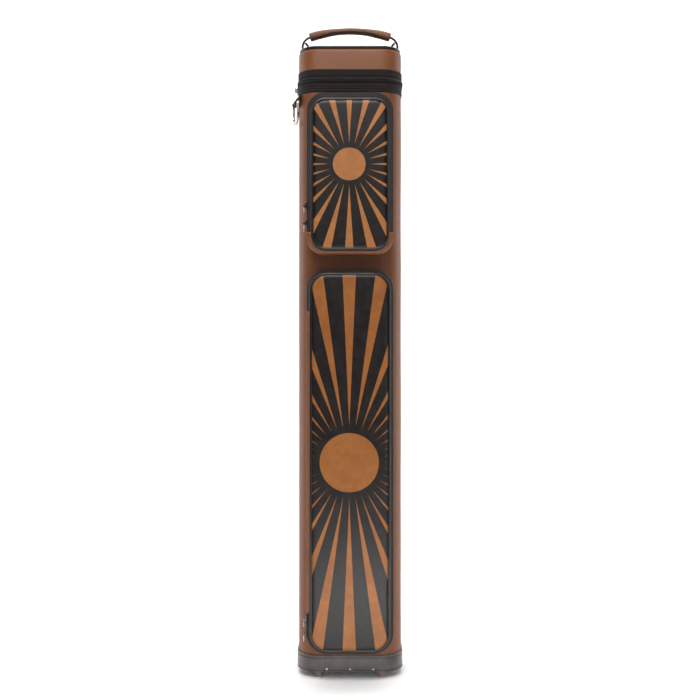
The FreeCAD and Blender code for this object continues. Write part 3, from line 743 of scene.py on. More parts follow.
def piping(name, outline, depth, place, body, node, seed):
    """Covered cord along the outline, its radius slightly uneven."""
    ks = outline.ks(2.2, arc_step=1.3)
    a = turn(20)
    uneven = 0.012
    noise = ripple(place(outline.at(ks)[0], depth), 3.1, seed, 14)
    radius = PIPE_R * (1 - uneven + uneven * noise)[:, None]
    cord = sweep(outline, ks, np.cos(a) * radius, depth + np.sin(a) * radius, place)
    build(name, [cord], PIPING, body, [node])


case_skin()
lid_skin()
lid_top()
piping("lid_piping_cord", CASE.grown(-3.2), LID_TOP + PIPE_R + 0.05, on_plan, "lid",
       "lid_piping", seed=21)


# ---------------------------------------------------------------- lid zip and hinge
def zip_coil(name, outline, k0, k1, out, split, side, place, body):
    """Coil loops on one side (1 or -1) of the split plane, set to interleave with the other's."""
    points, normals = outline.at(outline.ks(0.5, k0, k1, arc_step=0.3))
    lengths = run_lengths(points)
    count = int(lengths[-1] / 1.5)
    pitch = lengths[-1] / count
    phase = 0.5 - 0.25 * side
    table = at_lengths(np.hstack([points, normals]), lengths, (np.arange(count) + phase) * pitch)
    normal = unit(table[:, 2:])
    at = place(table[:, :2] + normal * (out + 0.62), split + side * 1.1)
    along = place(np.stack([-normal[:, 1], normal[:, 0]], 1), 0.0)
    across = place(np.zeros((count, 2)), float(side))
    slant = 0.22
    loops = copies(bead(2.9, pitch * 0.255, 0.74, flat=0.42), at,
                   across * math.cos(slant) + along * math.sin(slant),
                   along * math.cos(slant) - across * math.sin(slant), place(normal, 0.0))
    build(name, [loops], COIL, body)


def groove(z):
    """Shallow groove across the tape's outer face."""
    return [(1.16, z - 0.55), (1.0, z - 0.3), (0.86, z), (1.0, z + 0.3), (1.16, z + 0.55)]


def lid_zips():
    """The zip runs round the front, from one edge of the hinge strap to the other."""
    end_x = STRAP_HALF_W + 0.4
    k0 = 4 + (FLAT_HALF_W + end_x) / (2 * FLAT_HALF_W) - 9
    k1 = 4 + (FLAT_HALF_W - end_x) / (2 * FLAT_HALF_W)
    ks = CASE.ks(3.0, k0, k1, arc_step=1.8)
    inner = 0.05
    # outwards, z
    upper = [(inner, 838.8), (inner, 824.1), (0.9, 824.05), (1.35, 824.3), (1.55, 825.0),
             (1.5, 826.2), (1.3, 827.0), (0.8, 827.5), (0.42, 827.8), (0.36, 828.6), (0.4, 829.3),
             (0.8, 829.6), (1.12, 829.9)]
    upper += groove(832.3) + groove(835.4) + [(1.1, 838.1), (0.9, 838.6), (0.55, 838.8)]
    lower = [(inner, 807.5), (0.55, 807.5), (0.9, 807.7), (1.1, 808.2)]
    lower += groove(811.2) + groove(814.8)
    lower += [(1.12, 818.1), (0.8, 818.4), (0.4, 818.7), (0.36, 819.4), (0.42, 820.2),
              (0.8, 820.5), (1.3, 821.0), (1.5, 821.8), (1.55, 823.0), (1.35, 823.7),
              (0.9, 823.95), (inner, 823.9)]
    # name, profile, body, CAD side, side of the split, stitch height
    halves = (("upper", upper, "lid", "lid_zip_lid_side", 1, 837.3),
              ("lower", lower, "case", "lid_zip_case_side", -1, 809.2))
    for name, profile, body, node, _, _ in halves:
        build("lid_zip_tape_" + name, [sweep(CASE, ks, *np.array(profile).T, on_plan, False)],
              TAPE, body, [node], sharp=50)
    for name, _, body, _, side, _ in halves:
        zip_coil("lid_zip_coil_" + name, CASE, k0 + 0.02, k1 - 0.02, 1.12, SPLIT_Z, side,
                 on_plan, body)
    ks = CASE.ks(2.0, k0 + 0.01, k1 - 0.01)
    for name, _, body, _, _, z in halves:
        stitches("lid_zip_stitches_" + name, [outline_path(CASE, ks, 1.06, z, on_plan)],
                 (2.6, 2.0, 0.26), THREAD_BLACK, body)


def lid_hinge():
    """One leather strap across the back, sewn to case and lid, with a crease at the split line."""
    w, z0, z1, back_y = STRAP_HALF_W, 806.5, 841.5, CASE_HALF_D + 0.05
    x = np.concatenate([[-w, -w + 0.35, -w + 1.0], np.linspace(-w + 3, w - 3, 26),
                        [w - 1.0, w - 0.35, w]])
    steps = np.array([0, 0.3, 1.0, 3, 6, 9.5])
    z = np.concatenate([z0 + steps, np.linspace(817, 831, 22), z1 - steps[::-1]])
    edge_x = smoothstep((w - np.abs(x)) / 0.9)[:, None]
    edge_z = smoothstep(np.minimum(z - z0, z1 - z) / 0.9)[None]
    x, z = np.meshgrid(x, z, indexing="ij")
    thickness = 0.35 + 0.85 * np.sqrt(np.clip(edge_x * edge_z, 0, 1))
    crease = 0.28 * np.exp(-((z - SPLIT_Z) / 1.1) ** 2)
    front_y = back_y + thickness - crease + ripple(xyz(x, 0, z), 22, 8) * 0.05
    strap = build("lid_hinge_strap", [sheet(xyz(x, front_y, z), xyz(x, back_y, z))], BROWN, None,
                  ["lid_hinge_case_leaf", "lid_hinge_lid_leaf"])
    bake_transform(strap)
    x = np.linspace(-w + 2.6, w - 2.6, 60)
    for body, heights in (("case", (809.2, 812.4)), ("lid", (838.8, 835.6))):
        stitches("lid_hinge_stitches_" + body,
                 [(xyz(x, CASE_HALF_D + 1.26, height), (0, 1, 0)) for height in heights],
                 (3.0, 2.3, 0.32), THREAD_BROWN, body)


lid_zips()
lid_hinge()


# ---------------------------------------------------------------- pockets
def case_front_y(x):
    """The y of the case front at x."""
    a = np.abs(x)
    curve = np.sqrt(np.clip(CASE_R * CASE_R - (a - FLAT_HALF_W) ** 2, 0, None))
    return np.where(a < FLAT_HALF_W, -CASE_HALF_D, -(CASE_HALF_D - CASE_R) - curve)


def set_out(p):
    """Outlines and depths shared by a pocket's pieces."""
    p.flap = p.name + "_flap"
    p.wall = Outline(p.half_w, (p.z1 - p.z0) / 2, p.radius, (p.z1 + p.z0) / 2)
    p.tape = p.wall.grown(-TAPE_INSET)
    p.face = Outline(p.face_half_w, (p.face_z1 - p.face_z0) / 2, p.face_radius,
                     (p.face_z1 + p.face_z0) / 2)
    # k0..k1 is the zipped run; the rest of the way round is the leather fold
    p.k0, p.k1 = (p.tape.height_to_k(z, left) for z, left in p.zip_ends)
    if p.k0 > p.k1:
        p.k0 -= 9
    p.mm = 1.0 / p.wall.lengths[int(p.k1) % 9]      # one mm along the straight sides, in k
    p.pipe_y = p.front_y + 2.5
    p.board_y = p.pipe_y + PIPE_R + 0.05
    p.fold_y = p.front_y + 6.5                      # edge of the fixed wall at the fold


def pocket_wall(p):
    """Leather wall round the base, following the case front."""
    wall = p.wall
    extra = [k % 9 + q * p.mm for k in (p.k0, p.k1) for q in (-1.5, -0.25, -0.01, 0.01, 0.25, 1.5)]
    ks = wall.ks(3.6, arc_step=2.2, extra=extra)
    points, _ = wall.at(ks)
    zipped = np.any([(p.k0 <= ks + lap) & (ks + lap <= p.k1) for lap in (0, -9, 9)], axis=0)
    end_y = np.where(zipped, p.band_y, p.fold_y)[:, None]
    back_y = (case_front_y(points[:, 0]) + 0.7)[:, None]
    t = np.linspace(0, 1, 7)
    puff = 0.30 * np.sin(np.pi * t)
    base = np.concatenate([puff - 0.02, [-0.12, -0.5, -1.1, -1.48, -1.6, -1.6]])
    y = np.concatenate([back_y + (end_y + 0.6 - back_y) * t,
                        end_y + np.array([0.2, 0.0, 0.0, 0.2, 0.8]), back_y], 1)
    soft = np.where(base > -0.15, ripple(on_front(points[:, None], y), 26, 31) * 0.10, 0)
    out = base + soft * (y < back_y - 1.5) * (np.abs(y - end_y) > 0.5)
    build(p.name + "_pocket_wall", [sweep(wall, ks, out, y, on_front)], BROWN, "case",
          [p.name + "_pocket_gusset"])
    ks = wall.ks(1.2, p.k0 + 0.03, p.k1 - 0.03, arc_step=0.8)
    stitches(p.name + "_pocket_stitches",
             [outline_path(wall, ks, 0.10, p.band_y + 2.6, on_front)],
             (3.0, 2.3, 0.30), THREAD_BROWN, "case")


def pocket_tape_ks(p):
    return p.tape.ks(3.2, p.k0 + 0.15 * p.mm, p.k1 - 0.15 * p.mm, arc_step=1.8)


def pocket_tape_case(p):
    band, chain = p.band_y, p.chain_y
    profile = [(-1.0, band + 4), (-0.12, band + 4), (0.0, band + 3)]    # outwards, y
    y, rib = band - 1.0, 3.1
    while y - rib > chain + 3.6:
        profile += [(-0.38, y), (-0.05, y - 0.55), (0.12, y - 1.3), (-0.05, y - 2.05),
                    (-0.38, y - 2.6)]
        y -= rib
    profile += [(-0.5, chain + 3.5), (-0.1, chain + 3.0), (0.35, chain + 2.5), (0.5, chain + 1.8),
                (0.5, chain + 1.0), (0.3, chain + 0.3), (-0.2, chain + 0.05), (-1.0, chain + 0.05)]

    def stay_in_front(verts, *_):
        """Keep the tape in front of the case."""
        verts[..., 1] = np.minimum(verts[..., 1], case_front_y(verts[..., 0]) - 0.95)
        return verts
    build(p.name + "_zip_tape_case",
          [sweep(p.tape, pocket_tape_ks(p), *np.array(profile).T, on_front, False, stay_in_front)],
          TAPE, "case", [p.name + "_zip_case_side"], sharp=50)


def pocket_tape_flap(p):
    """Short straight edge, then a ribbed band sloping up to the piping."""
    ks = pocket_tape_ks(p)
    edge, edge_n = p.tape.at(ks)
    face, face_n = p.face.grown(0.9).at(ks)
    # outwards, y from the zip's middle
    straight = ((-0.95, -0.05), (-0.2, -0.05), (0.3, -0.3), (0.5, -1.0), (0.5, -1.9), (0.3, -2.5),
                (-0.35, -2.95))
    # share of the way to the piping, rib height
    ribs = ((0.12, 0.0), (0.22, 0.26), (0.32, 0.0), (0.42, -0.05), (0.52, 0.24), (0.62, 0.0),
            (0.72, -0.05), (0.82, 0.22), (0.92, 0.0), (1.0, -0.1))
    y0, y1 = p.chain_y - 3.2, p.board_y - 0.35
    lines = [on_front(edge + edge_n * out, p.chain_y + dy) for out, dy in straight]
    lines += [on_front(between(edge, face, u) + between(edge_n, face_n, u) * (lift - 0.05),
                       y0 + (y1 - y0) * u) for u, lift in ribs]
    lines += [on_front(face - face_n * 0.95, y1),
              on_front(between(edge, face, 0.5) - edge_n, (y0 + y1) / 2 + 0.3),
              on_front(edge - edge_n, y0 + 0.2)]
    build(p.name + "_zip_tape_flap", [loft(np.stack(lines, 1), False)], TAPE, p.flap,
          [p.name + "_zip_flap_side"], sharp=50)


def pocket_fold(p):
    """Leather fold between wall and flap."""
    ks = p.wall.ks(2.6, p.k1 - 0.05 * p.mm, p.k0 + 9 + 0.05 * p.mm, arc_step=1.6)
    wall, wall_n = p.wall.at(ks)
    face, face_n = p.face.grown(0.7).at(ks)
    y0, y1 = p.fold_y, p.pipe_y + 1.2
    steps = [i / 10 for i in range(11)]
    lines = []
    for u, inner in [(u, 0) for u in steps] + [(u, 1) for u in steps[::-1]]:
        out = 0.75 * math.sin(math.pi * u) ** 0.8 - 1.15 * inner
        y = y0 + 0.1 + (y1 - y0 - 0.1) * (u ** 1.15) + 0.45 * inner * (u > 0.3)
        lines.append(on_front(between(wall, face, u) + between(wall_n, face_n, u) * out, y))
    fold = build(p.name + "_pocket_fold", [loft(np.stack(lines, 1), False)], BROWN, None)
    start, end = p.hinge(y0, y1)
    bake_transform(fold)
    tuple(start)
    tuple(end)


def pocket_panel(p, material):
    """Padded, printed face."""
    face = p.face.grown(0.9 - (2 * PIPE_R + 0.05))
    top = p.front_y - 0.4
    rings = [(-12.0, p.board_y - 0.05), (-0.9, p.board_y - 0.05), (-0.9, top + 2.4),
             (-0.3, top + 2.0), (0.0, top + 1.75), (-0.5, top + 1.2), (-1.1, top + 0.72),
             (-1.9, top + 0.30), (-2.9, top + 0.06)]
    rings += [(-inset, top) for inset in (4.2, 6.5, 9.5, 13.5, 18, 23, 29, 36, 42)]

    def crown(verts):
        level = verts[..., 1] < top + 0.03
        over_x = np.clip(1 - (verts[..., 0] / p.face_half_w) ** 2, 0, 1)
        over_z = np.clip(1 - ((verts[..., 2] - p.face.mid_v) / p.face.half_h) ** 4, 0, 1)
        soft = ripple(verts * (1, 1, 0.7), 60, 51) * 0.12
        verts[..., 1] -= level * (0.9 + soft) * over_x * over_z
        return verts
    build(p.name + "_panel", [bowl(face, rings, face.ks(4.5, arc_step=1.8), on_front, crown)],
          material, p.flap, [p.name + "_flap_face"])


def pocket_lining(p):
    """Lining sheet on the case front, inside the pocket wall."""
    inner = p.wall.grown(-1.8)
    u, v = np.meshgrid(np.linspace(-1, 1, 34), np.linspace(-1, 1, int((p.z1 - p.z0) / 6)),
                       indexing="ij")
    z = inner.mid_v + v * (inner.half_h - 0.2)
    into_corner = np.clip(np.abs(z - inner.mid_v) - inner.y, 0, None)
    x = u * (inner.x + np.sqrt(np.clip(inner.r ** 2 - into_corner ** 2, 1.0, None)))
    y = case_front_y(x)
    soft = ripple(xyz(x, 0, z), 30, 61) * 0.22 + 0.25
    edge = smoothstep((1 - np.abs(u)) / 0.08) * smoothstep((1 - np.abs(v)) / 0.04)
    front = xyz(x, y - 0.55 - np.clip(soft, 0.0, 0.5) * edge, z)
    build(p.name + "_lining", [sheet(front, xyz(x, y - 0.06, z))], LINING, "case",
          [p.name + "_pocket_lining"])


def pocket(p, print_material):
    set_out(p)
    pocket_wall(p)
    pocket_tape_case(p)
    pocket_tape_flap(p)
    for end, side, body in (("case", 1, "case"), ("flap", -1, p.flap)):
        zip_coil(p.name + "_zip_coil_" + end, p.tape, p.k0 + 0.5 * p.mm, p.k1 - 0.5 * p.mm, 0.2,
                 p.chain_y, side, on_front, body)
    pocket_fold(p)
    piping(p.name + "_piping_cord", p.face.grown(-PIPE_R), p.pipe_y, on_front, p.flap,
           p.name + "_flap_piping", p.piping_seed)
    pocket_panel(p, print_material)
    pocket_lining(p)


pocket(SMALL, PRINT_SMALL)
pocket(LARGE, PRINT_LARGE)


# ---------------------------------------------------------------- boot
def boot():
    """Black leatherette cup round the foot of the case, with two sewn grooves."""
    z0, w, r = BOOT_Z, BOOT_OUT, 1.6
    low, high = z0 + 2.5, 28.0          # stitched grooves
    # outwards, z
    outside = [(-30, z0), (-12, z0), (-4, z0), (w - 2.1, z0)]
    outside += [(w - r + r * math.sin(a), z0 + r - r * math.cos(a))
                for a in np.linspace(0, math.pi / 2, 7)]
    outside += [(w - 0.10, low - 0.6), (w - 0.42, low), (w - 0.12, low + 0.6),
                (w + 0.05, low + 1.6), (w + 0.12, 14.5), (w + 0.16, 17), (w + 0.18, 19.5),
                (w + 0.16, 22), (w + 0.12, 24.5), (w + 0.06, 26.4), (w - 0.10, high - 0.6),
                (w - 0.42, high), (w - 0.10, high + 0.6)]
    lip = [(w + 0.02, 29.2), (w - 0.22, 29.9), (w - 0.16, 30.3), (w + 0.12, 30.8), (w + 0.2, 31.4),
           (w, 31.95), (w - 0.5, 32.2), (w - 1.0, 32.1), (w - 1.45, 31.6), (w - 1.7, 30.8),
           (0.06, 29.5)]
    inside = [(0.05, 20), (0.05, z0 + 1.5), (-12, z0 + 1.5), (-30, z0 + 1.5)]
    rings = outside + lip + inside

    def uneven(verts):
        z = verts[..., 2]
        soft = smoothstep((z - 14.5) / 2) * smoothstep((29.5 - z) / 2)
        soft = soft * (np.arange(len(rings))[:, None] < len(outside) + 1)
        out = (ripple(verts, 24, 71) * 0.12 + 0.08) * soft
        verts[..., :2] += unit(verts[..., :2]) * out[..., None]
        return verts
    build("boot_skin", [bowl(CASE, rings, CASE.ks(4.0, arc_step=2.2), on_plan, uneven)], BLACK,
          "case", ["base_boot"])
    ks = CASE.ks(2.5, arc_step=1.5)
    stitches("boot_stitches", [outline_path(CASE, ks, w - 0.22, z, on_plan) for z in (high, low)],
             (3.2, 2.3, 0.42), THREAD_BLACK, "case", closed=True)


boot()


# ---------------------------------------------------------------- strap ring tabs
def ring_tab(name, origin, outwards, across, bar_z, top, node):
    """Webbing folded round the ring's bar and sewn down to the case."""
    origin, outwards, across = (np.array(v, float) for v in (origin, outwards, across))
    bar, outer_r, inner_r = 5.4, 3.3, 2.05      # bar's distance out; fold radii round it
    start = math.radians(58)
    a = np.linspace(start, math.radians(-90), 16)

    def place(profile, x):
        return (origin + np.outer(profile[:, 0], outwards) + x * across
                + np.outer(profile[:, 1], (0, 0, 1)))

    def arc(r, angles):
        return [(bar + r * math.cos(q), bar_z + r * math.sin(q)) for q in angles]
    # outwards, z
    outer = [(-0.6, top), (0.5, top + 0.1), (1.5, top - 0.3)] + arc(outer_r, a)
    outer += [(2.0, bar_z - outer_r), (-0.6, bar_z - 3.35)]
    inner = [(-0.6, bar_z - 2.2), (bar, bar_z - inner_r)] + arc(inner_r, a[::-1])
    inner += [(3.2, bar_z + 2.6), (-0.6, top - 1.5)]
    n = len(outer)
    profile = np.array(outer + inner)
    sections = []
    for x in np.concatenate([[-10.5, -10.3, -9.9], np.linspace(-9, 9, 17), [9.9, 10.3, 10.5]]):
        thinned = 0.22 if abs(x) > 10.4 else 0.06 if abs(x) > 10.2 else 0.0
        line = profile.copy()
        to_bar = np.array((bar, bar_z)) - line[:n]
        line[:n] += to_bar / (np.linalg.norm(to_bar, axis=1)[:, None] + 1e-6) * thinned
        sections.append(place(line, x))
    build(name, [loft(np.stack(sections), False)], WEB, "case", [node], sharp=60)
    upper = np.array((1.8, top - 0.7))
    lower = np.array(arc(3.35, [start])[0])
    line = between(upper, lower, np.linspace(0, 0.85, 12)[:, None])
    slope = unit(lower - upper)
    normal = -slope[1] * outwards + slope[0] * np.array((0, 0, 1))
    stitches(name + "_stitches", [(place(line, x), normal) for x in (-8.6, 8.6)],
             (2.2, 1.7, 0.3), THREAD_BLACK, "case")


corner_angle = math.radians(15)         # upper tab's place on the front left corner
corner_out = np.array((-math.cos(corner_angle), -math.sin(corner_angle), 0.0))
corner_centre = np.array((-FLAT_HALF_W, -(CASE_HALF_D - CASE_R), 0.0))
ring_tab("upper_ring_webbing", corner_centre + corner_out * CASE_R, corner_out,
         (-math.sin(corner_angle), math.cos(corner_angle), 0.0), 795.5, 806.5, "upper_ring_tab")
ring_tab("lower_ring_webbing", (0, CASE_HALF_D, 0), (0, 1, 0), (-1, 0, 0), 82.0, 94.0,
         "lower_ring_tab")

# ---------------------------------------------------------------- handle
LOOP_X, LOOP_Z = 62.5, 877.5            # loops that hold the cord
GRIP_HALF_W, GRIP_END_Z, GRIP_TOP_Z = 57.0, 896.0, 905.0
GRIP_RISE = GRIP_TOP_Z - GRIP_END_Z
GRIP_ARC_R = (GRIP_HALF_W ** 2 + GRIP_RISE ** 2) / (2 * GRIP_RISE)
GRIP_ANGLE = math.asin(GRIP_HALF_W / GRIP_ARC_R)


def grip_arc(angle):
    """Points on the grip's centre line and its upward normals; angle 0 is the middle."""
    up = xyz(np.sin(angle), 0.0, np.cos(angle))
    return up * GRIP_ARC_R + (0, 0, GRIP_TOP_Z - GRIP_ARC_R), up


def around(centre, up, offset):
    """Points offset from a centre line in the plane of y and up."""
    return centre + np.array((0, 1, 0)) * offset[..., 0:1] + up * offset[..., 1:2]


def handle_tab():
    """Sewn-down bases with a loop on each, wide at the foot and narrow round the cord."""
    base_rings = [(-1.5, 870.62), (-0.2, 870.62), (0, 870.8), (0, 871.5), (-0.25, 871.85),
                  (-0.8, 872.0), (-2.5, 872.05)]
    a = np.linspace(math.radians(-25), math.radians(205), 19)

    def arc(r, angles):
        return [(r * math.cos(q), LOOP_Z + r * math.sin(q)) for q in angles]
    # y, z: over the outside, then back along the inside
    profile = [(5.6, 871.6), (4.4, 873.4), (3.3, 875.4)] + arc(3.0, a)
    profile += [(-3.3, 875.4), (-4.4, 873.4), (-5.6, 871.6), (-4.2, 871.6), (-3.0, 873.6),
                (-2.15, 875.3)]
    profile += arc(1.95, a[::-1]) + [(2.15, 875.3), (3.0, 873.6), (4.2, 871.6)]
    y, z = np.array(profile).T
    half_w = 1.8 + 2.5 * smoothstep((877.0 - z) / 5.4)
    parts = []
    for s in (-1, 1):
        base = Outline(4.6, 9.0, 2.6, mid_u=s * LOOP_X)
        parts.append(bowl(base, base_rings, base.ks(1.5, arc_step=0.8), on_plan))
        sections = [xyz(s * LOOP_X + u * half_w, y * (1 - 0.06 * abs(u) ** 6), z)
                    for u in np.linspace(-1, 1, 9)]
        parts.append(loft(np.stack(sections), False))
    build("handle_loops", parts, WEB, "lid", ["handle_tabs"], sharp=50)


def handle_cord():
    """Three twisted strands: out of the grip, through the loop and back towards the grip."""
    end, _ = grip_arc(GRIP_ANGLE)
    end_along = np.array((math.cos(GRIP_ANGLE), 0, -math.sin(GRIP_ANGLE)))
    loop_in, loop_out = np.array((LOOP_X - 2.2, 0, LOOP_Z)), np.array((LOOP_X + 2.0, 0, LOOP_Z))
    drop = bezier([loop_out, loop_out + (4.2, 0, 0), (LOOP_X + 6.1, 0, LOOP_Z + 9),
                   end + end_along * 9, end], 60)[::-1]
    meet = drop[int(0.36 * 59)]
    back = bezier([loop_in, loop_in + (-3.6, 0, 0), (LOOP_X - 4.2, 0, LOOP_Z + 7.5), meet], 40)
    lead, _ = grip_arc(np.linspace(GRIP_ANGLE * 0.86, GRIP_ANGLE, 8)[:-1])
    step, twist_pitch, strand_out, strand_r = 0.45, 7.5, 0.82, 0.93
    path = np.concatenate([lead, drop, np.linspace(loop_out, loop_in, 8)[1:-1], back[:-4]])
    path = resample(path, step)
    parts = []
    for s in (1, -1):
        centre = path * (s, 1, 1)
        side, up = side_and_up(centre)
        length = np.arange(len(centre)) * step
        for j in range(3):
            a = (length * 2 * math.pi / twist_pitch + j * 2 * math.pi / 3)[:, None]
            parts.append(tube(centre + (side * np.cos(a) + up * np.sin(a)) * strand_out, strand_r))
    build("handle_cord_twisted", parts, CORD, "handle", ["handle_cord"])


def superellipse(a, half_y, half_up):
    power = 0.78
    c, s = np.cos(a), np.sin(a)
    return np.stack([np.sign(c) * np.abs(c) ** power * half_y,
                     np.sign(s) * np.abs(s) ** power * half_up], -1)


def handle_grip():
    """Leather rolled round a braided core; the roll's edges leave a slot low on the front,
    widest in the middle."""
    t = np.linspace(-1, 1, 96)
    centre, up = grip_arc(np.linspace(-GRIP_ANGLE, GRIP_ANGLE, 96))
    swell = (0.80 + 0.24 * smoothstep((np.abs(t) - 0.25) / 0.6)
             + 0.03 * np.exp(-((np.abs(t) - 0.95) / 0.05) ** 2))
    to_end = np.clip((1 - np.abs(t)) / 0.03, 0, 1)
    swell = swell * (0.86 + 0.14 * np.sqrt(to_end * (2 - to_end)))
    slot = math.radians(243)            # direction of the slot: forwards (-Y) and down
    gap = np.radians(5 + 39 * smoothstep((0.93 - np.abs(t)) / 0.45))
    half_y, half_up = 7.0, 5.3
    a = (slot + gap)[:, None] + (2 * math.pi - 2 * gap)[:, None] * np.linspace(0, 1, 44)
    outer = superellipse(a, half_y, half_up)
    inner = superellipse(a, 5.4, 3.75)[:, ::-1]
    end_lip = (outer[:, -1:] * 0.94 + inner[:, :1] * 0.06) * 0.93
    start_lip = (outer[:, :1] * 0.94 + inner[:, -1:] * 0.06) * 0.93
    profile = np.concatenate([outer, end_lip, inner, start_lip], 1) * swell[:, None, None]
    rows = around(centre[:, None], up[:, None], profile)
    rows += up[:, None] * (ripple(rows, 17, 81) * 0.12)[..., None]
    build("handle_grip_roll", [loft(rows, False)], BROWN_DARK, "handle",
          ["handle_grip"])

    # core: two opposed sets of five strands over a solid middle
    t_core = np.linspace(-0.985, 0.985, 220)
    core, core_up = grip_arc(t_core * GRIP_ANGLE)
    size = np.interp(t_core, t, swell)
    size = np.where(np.abs(t_core) > 0.9, np.minimum(size, 0.86), size)
    length = t_core * GRIP_ANGLE * GRIP_ARC_R
    braid_pitch, weave_pitch = 17, 3.4
    parts = []
    for sign in (1, -1):
        for j in range(5):
            b = sign * length * 2 * math.pi / braid_pitch + j * 2 * math.pi / 5
            weave = np.sin(length * 2 * math.pi / weave_pitch + j * math.pi)
            r = (1 + 0.07 * weave * sign) * size
            offset = np.stack([np.cos(b) * 4.6 * r, np.sin(b) * 3.1 * r], -1)
            parts.append(tube(around(core, core_up, offset), 1.2))
    parts.append(tube(core, 2.9 * size, sides=14))
    build("handle_core_braid", parts, BRAID, "handle")

    lines = []
    sewn = np.abs(t) < 0.93
    for sign in (1, -1):
        offset = superellipse(slot + sign * (gap + 0.20), half_y, half_up)
        normal = unit(offset / np.array((half_y ** 2, half_up ** 2)))
        lines.append((around(centre, up, offset * swell[:, None])[sewn],
                      around(0, up, normal)[sewn]))
    stitches("handle_stitches", lines, (3.0, 2.3, 0.3), THREAD_BROWN, "handle")


handle_tab()
handle_cord()
handle_grip()


# ---------------------------------------------------------------- padded lid lining
def puff_up(ob, pin_z):
    """Remesh the pad and blow it up with a short cloth run, pinned above pin_z (m)."""
    bpy.context.view_layer.objects.active = ob
    ob.select_set(True)
    remesh = ob.modifiers.new("remesh", "REMESH")
    remesh.mode, remesh.voxel_size = "VOXEL", 0.0035
    graph = bpy.context.evaluated_depsgraph_get()
    mesh = bpy.data.meshes.new_from_object(ob.evaluated_get(graph))
    ob.modifiers.clear()
    ob.data = mesh
    rest = np.array([v.co for v in mesh.vertices])
    pin = ob.vertex_groups.new(name="pin")
    for i, co in enumerate(rest):
        if co[2] > pin_z:
            pin.add([i], 1.0, "REPLACE")
    cloth = ob.modifiers.new("cloth", "CLOTH")
    settings = cloth.settings
    settings.quality, settings.mass = 6, 0.2
    settings.tension_stiffness = settings.compression_stiffness = 20
    settings.bending_stiffness = 1.0
    settings.use_pressure, settings.uniform_pressure_force = True, 4.0
    settings.effector_weights.gravity = 0.0
    settings.vertex_group_mass = "pin"
    last_frame = 20
    cloth.point_cache.frame_start, cloth.point_cache.frame_end = 1, last_frame
    for frame_number in range(1, last_frame + 1):
        scene.frame_set(frame_number)
    graph = bpy.context.evaluated_depsgraph_get()
    move = np.array([v.co for v in ob.evaluated_get(graph).data.vertices]) - rest
    move[:, :2] = 0                     # the side walls of the lid hold it in
    move = np.clip(move, -0.0022, 0.0004)
    scene.frame_set(1)
    ob.modifiers.clear()
    ob.vertex_groups.clear()
    mesh.vertices.foreach_set("co", (rest + move).astype(np.float32).ravel())
    mesh.update()
    mesh.shade_smooth()
    mesh.materials.clear()
    mesh.materials.append(LINING)
    smooth = ob.modifiers.new("smooth", "SUBSURF")
    smooth.levels = smooth.render_levels = 1


def lid_pad():
    """Foam pad under the lid, with a seam cord round it."""
    outline, top = CASE.grown(-5.2), 864.9
    rings = [(-8, top), (0, top), (0, top - 2.5), (-0.2, top - 5.2), (-1.2, top - 6.4),
             (-4, top - 6.9)]
    rings += [(-inset, top - 7.0) for inset in (10, 18, 26, 34)]
    pad = bowl(outline, rings, outline.ks(4.0, arc_step=3.0), on_plan)
    ob = build("lid_pad_soft", [pad], LINING)
    puff_up(ob, (top - 1.2) * MM)
    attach(ob, "lid")
    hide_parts("lid_pad")
    points, _ = outline.grown(-1.6).at(outline.ks(1.6, arc_step=1.2))
    seam = tube(on_plan(points, top - 6.3), 0.75, closed=True, ref=(0, 0, 1))
    build("lid_pad_seam", [seam], LINING, "lid")


lid_pad()


# ---------------------------------------------------------------- CAD pieces that stay
def finish_cad():
    """Materials and soft edges."""
    kept = {
        "body_shell": CORE, "lid_shell": CORE, "base_board": BOARD, "boot_nails": NICKEL,
        "rubber_feet": RUBBER, "foot_screws": STEEL, "mouth_plate": LINING, "tube_end_pad": FOAM,
        "small_flap_board": LINING, "large_flap_board": LINING, "upper_strap_ring": NICKEL,
        "lower_strap_ring": NICKEL,
    }
    kept.update({f"butt_tube_{place}": TUBE for place in ("left", "centre", "right")})
    kept.update({f"shaft_tube_{i}": TUBE for i in range(1, 6)})
    for zip_name in ("lid_zip_front", "lid_zip_rear", "small_zip_upper", "small_zip_lower",
                     "large_zip_upper", "large_zip_lower"):
        kept[zip_name + "_slider"] = BLACK_NICKEL
        kept[zip_name + "_pull"] = BLACK_NICKEL if zip_name.startswith("lid") else GUNMETAL
    for name, material in kept.items():
        ob = nodes[name]
        ob.data.materials.clear()
        ob.data.materials.append(material)
        ob.data.shade_smooth()
        if name.endswith(("_slider", "_pull")) or name in ("rubber_feet", "mouth_plate"):
            bevel = ob.modifiers.new("edge", "BEVEL")
            bevel.width = 0.0006 if name == "rubber_feet" else 0.00025
            bevel.segments, bevel.limit_method = 2, "ANGLE"
            bevel.angle_limit = math.radians(35)
            bevel.harden_normals = True
        else:
            rounded = name.endswith("_ring") or name == "boot_nails"
            ob.data.set_sharp_from_angle(angle=math.radians(60 if rounded else 30))


finish_cad()


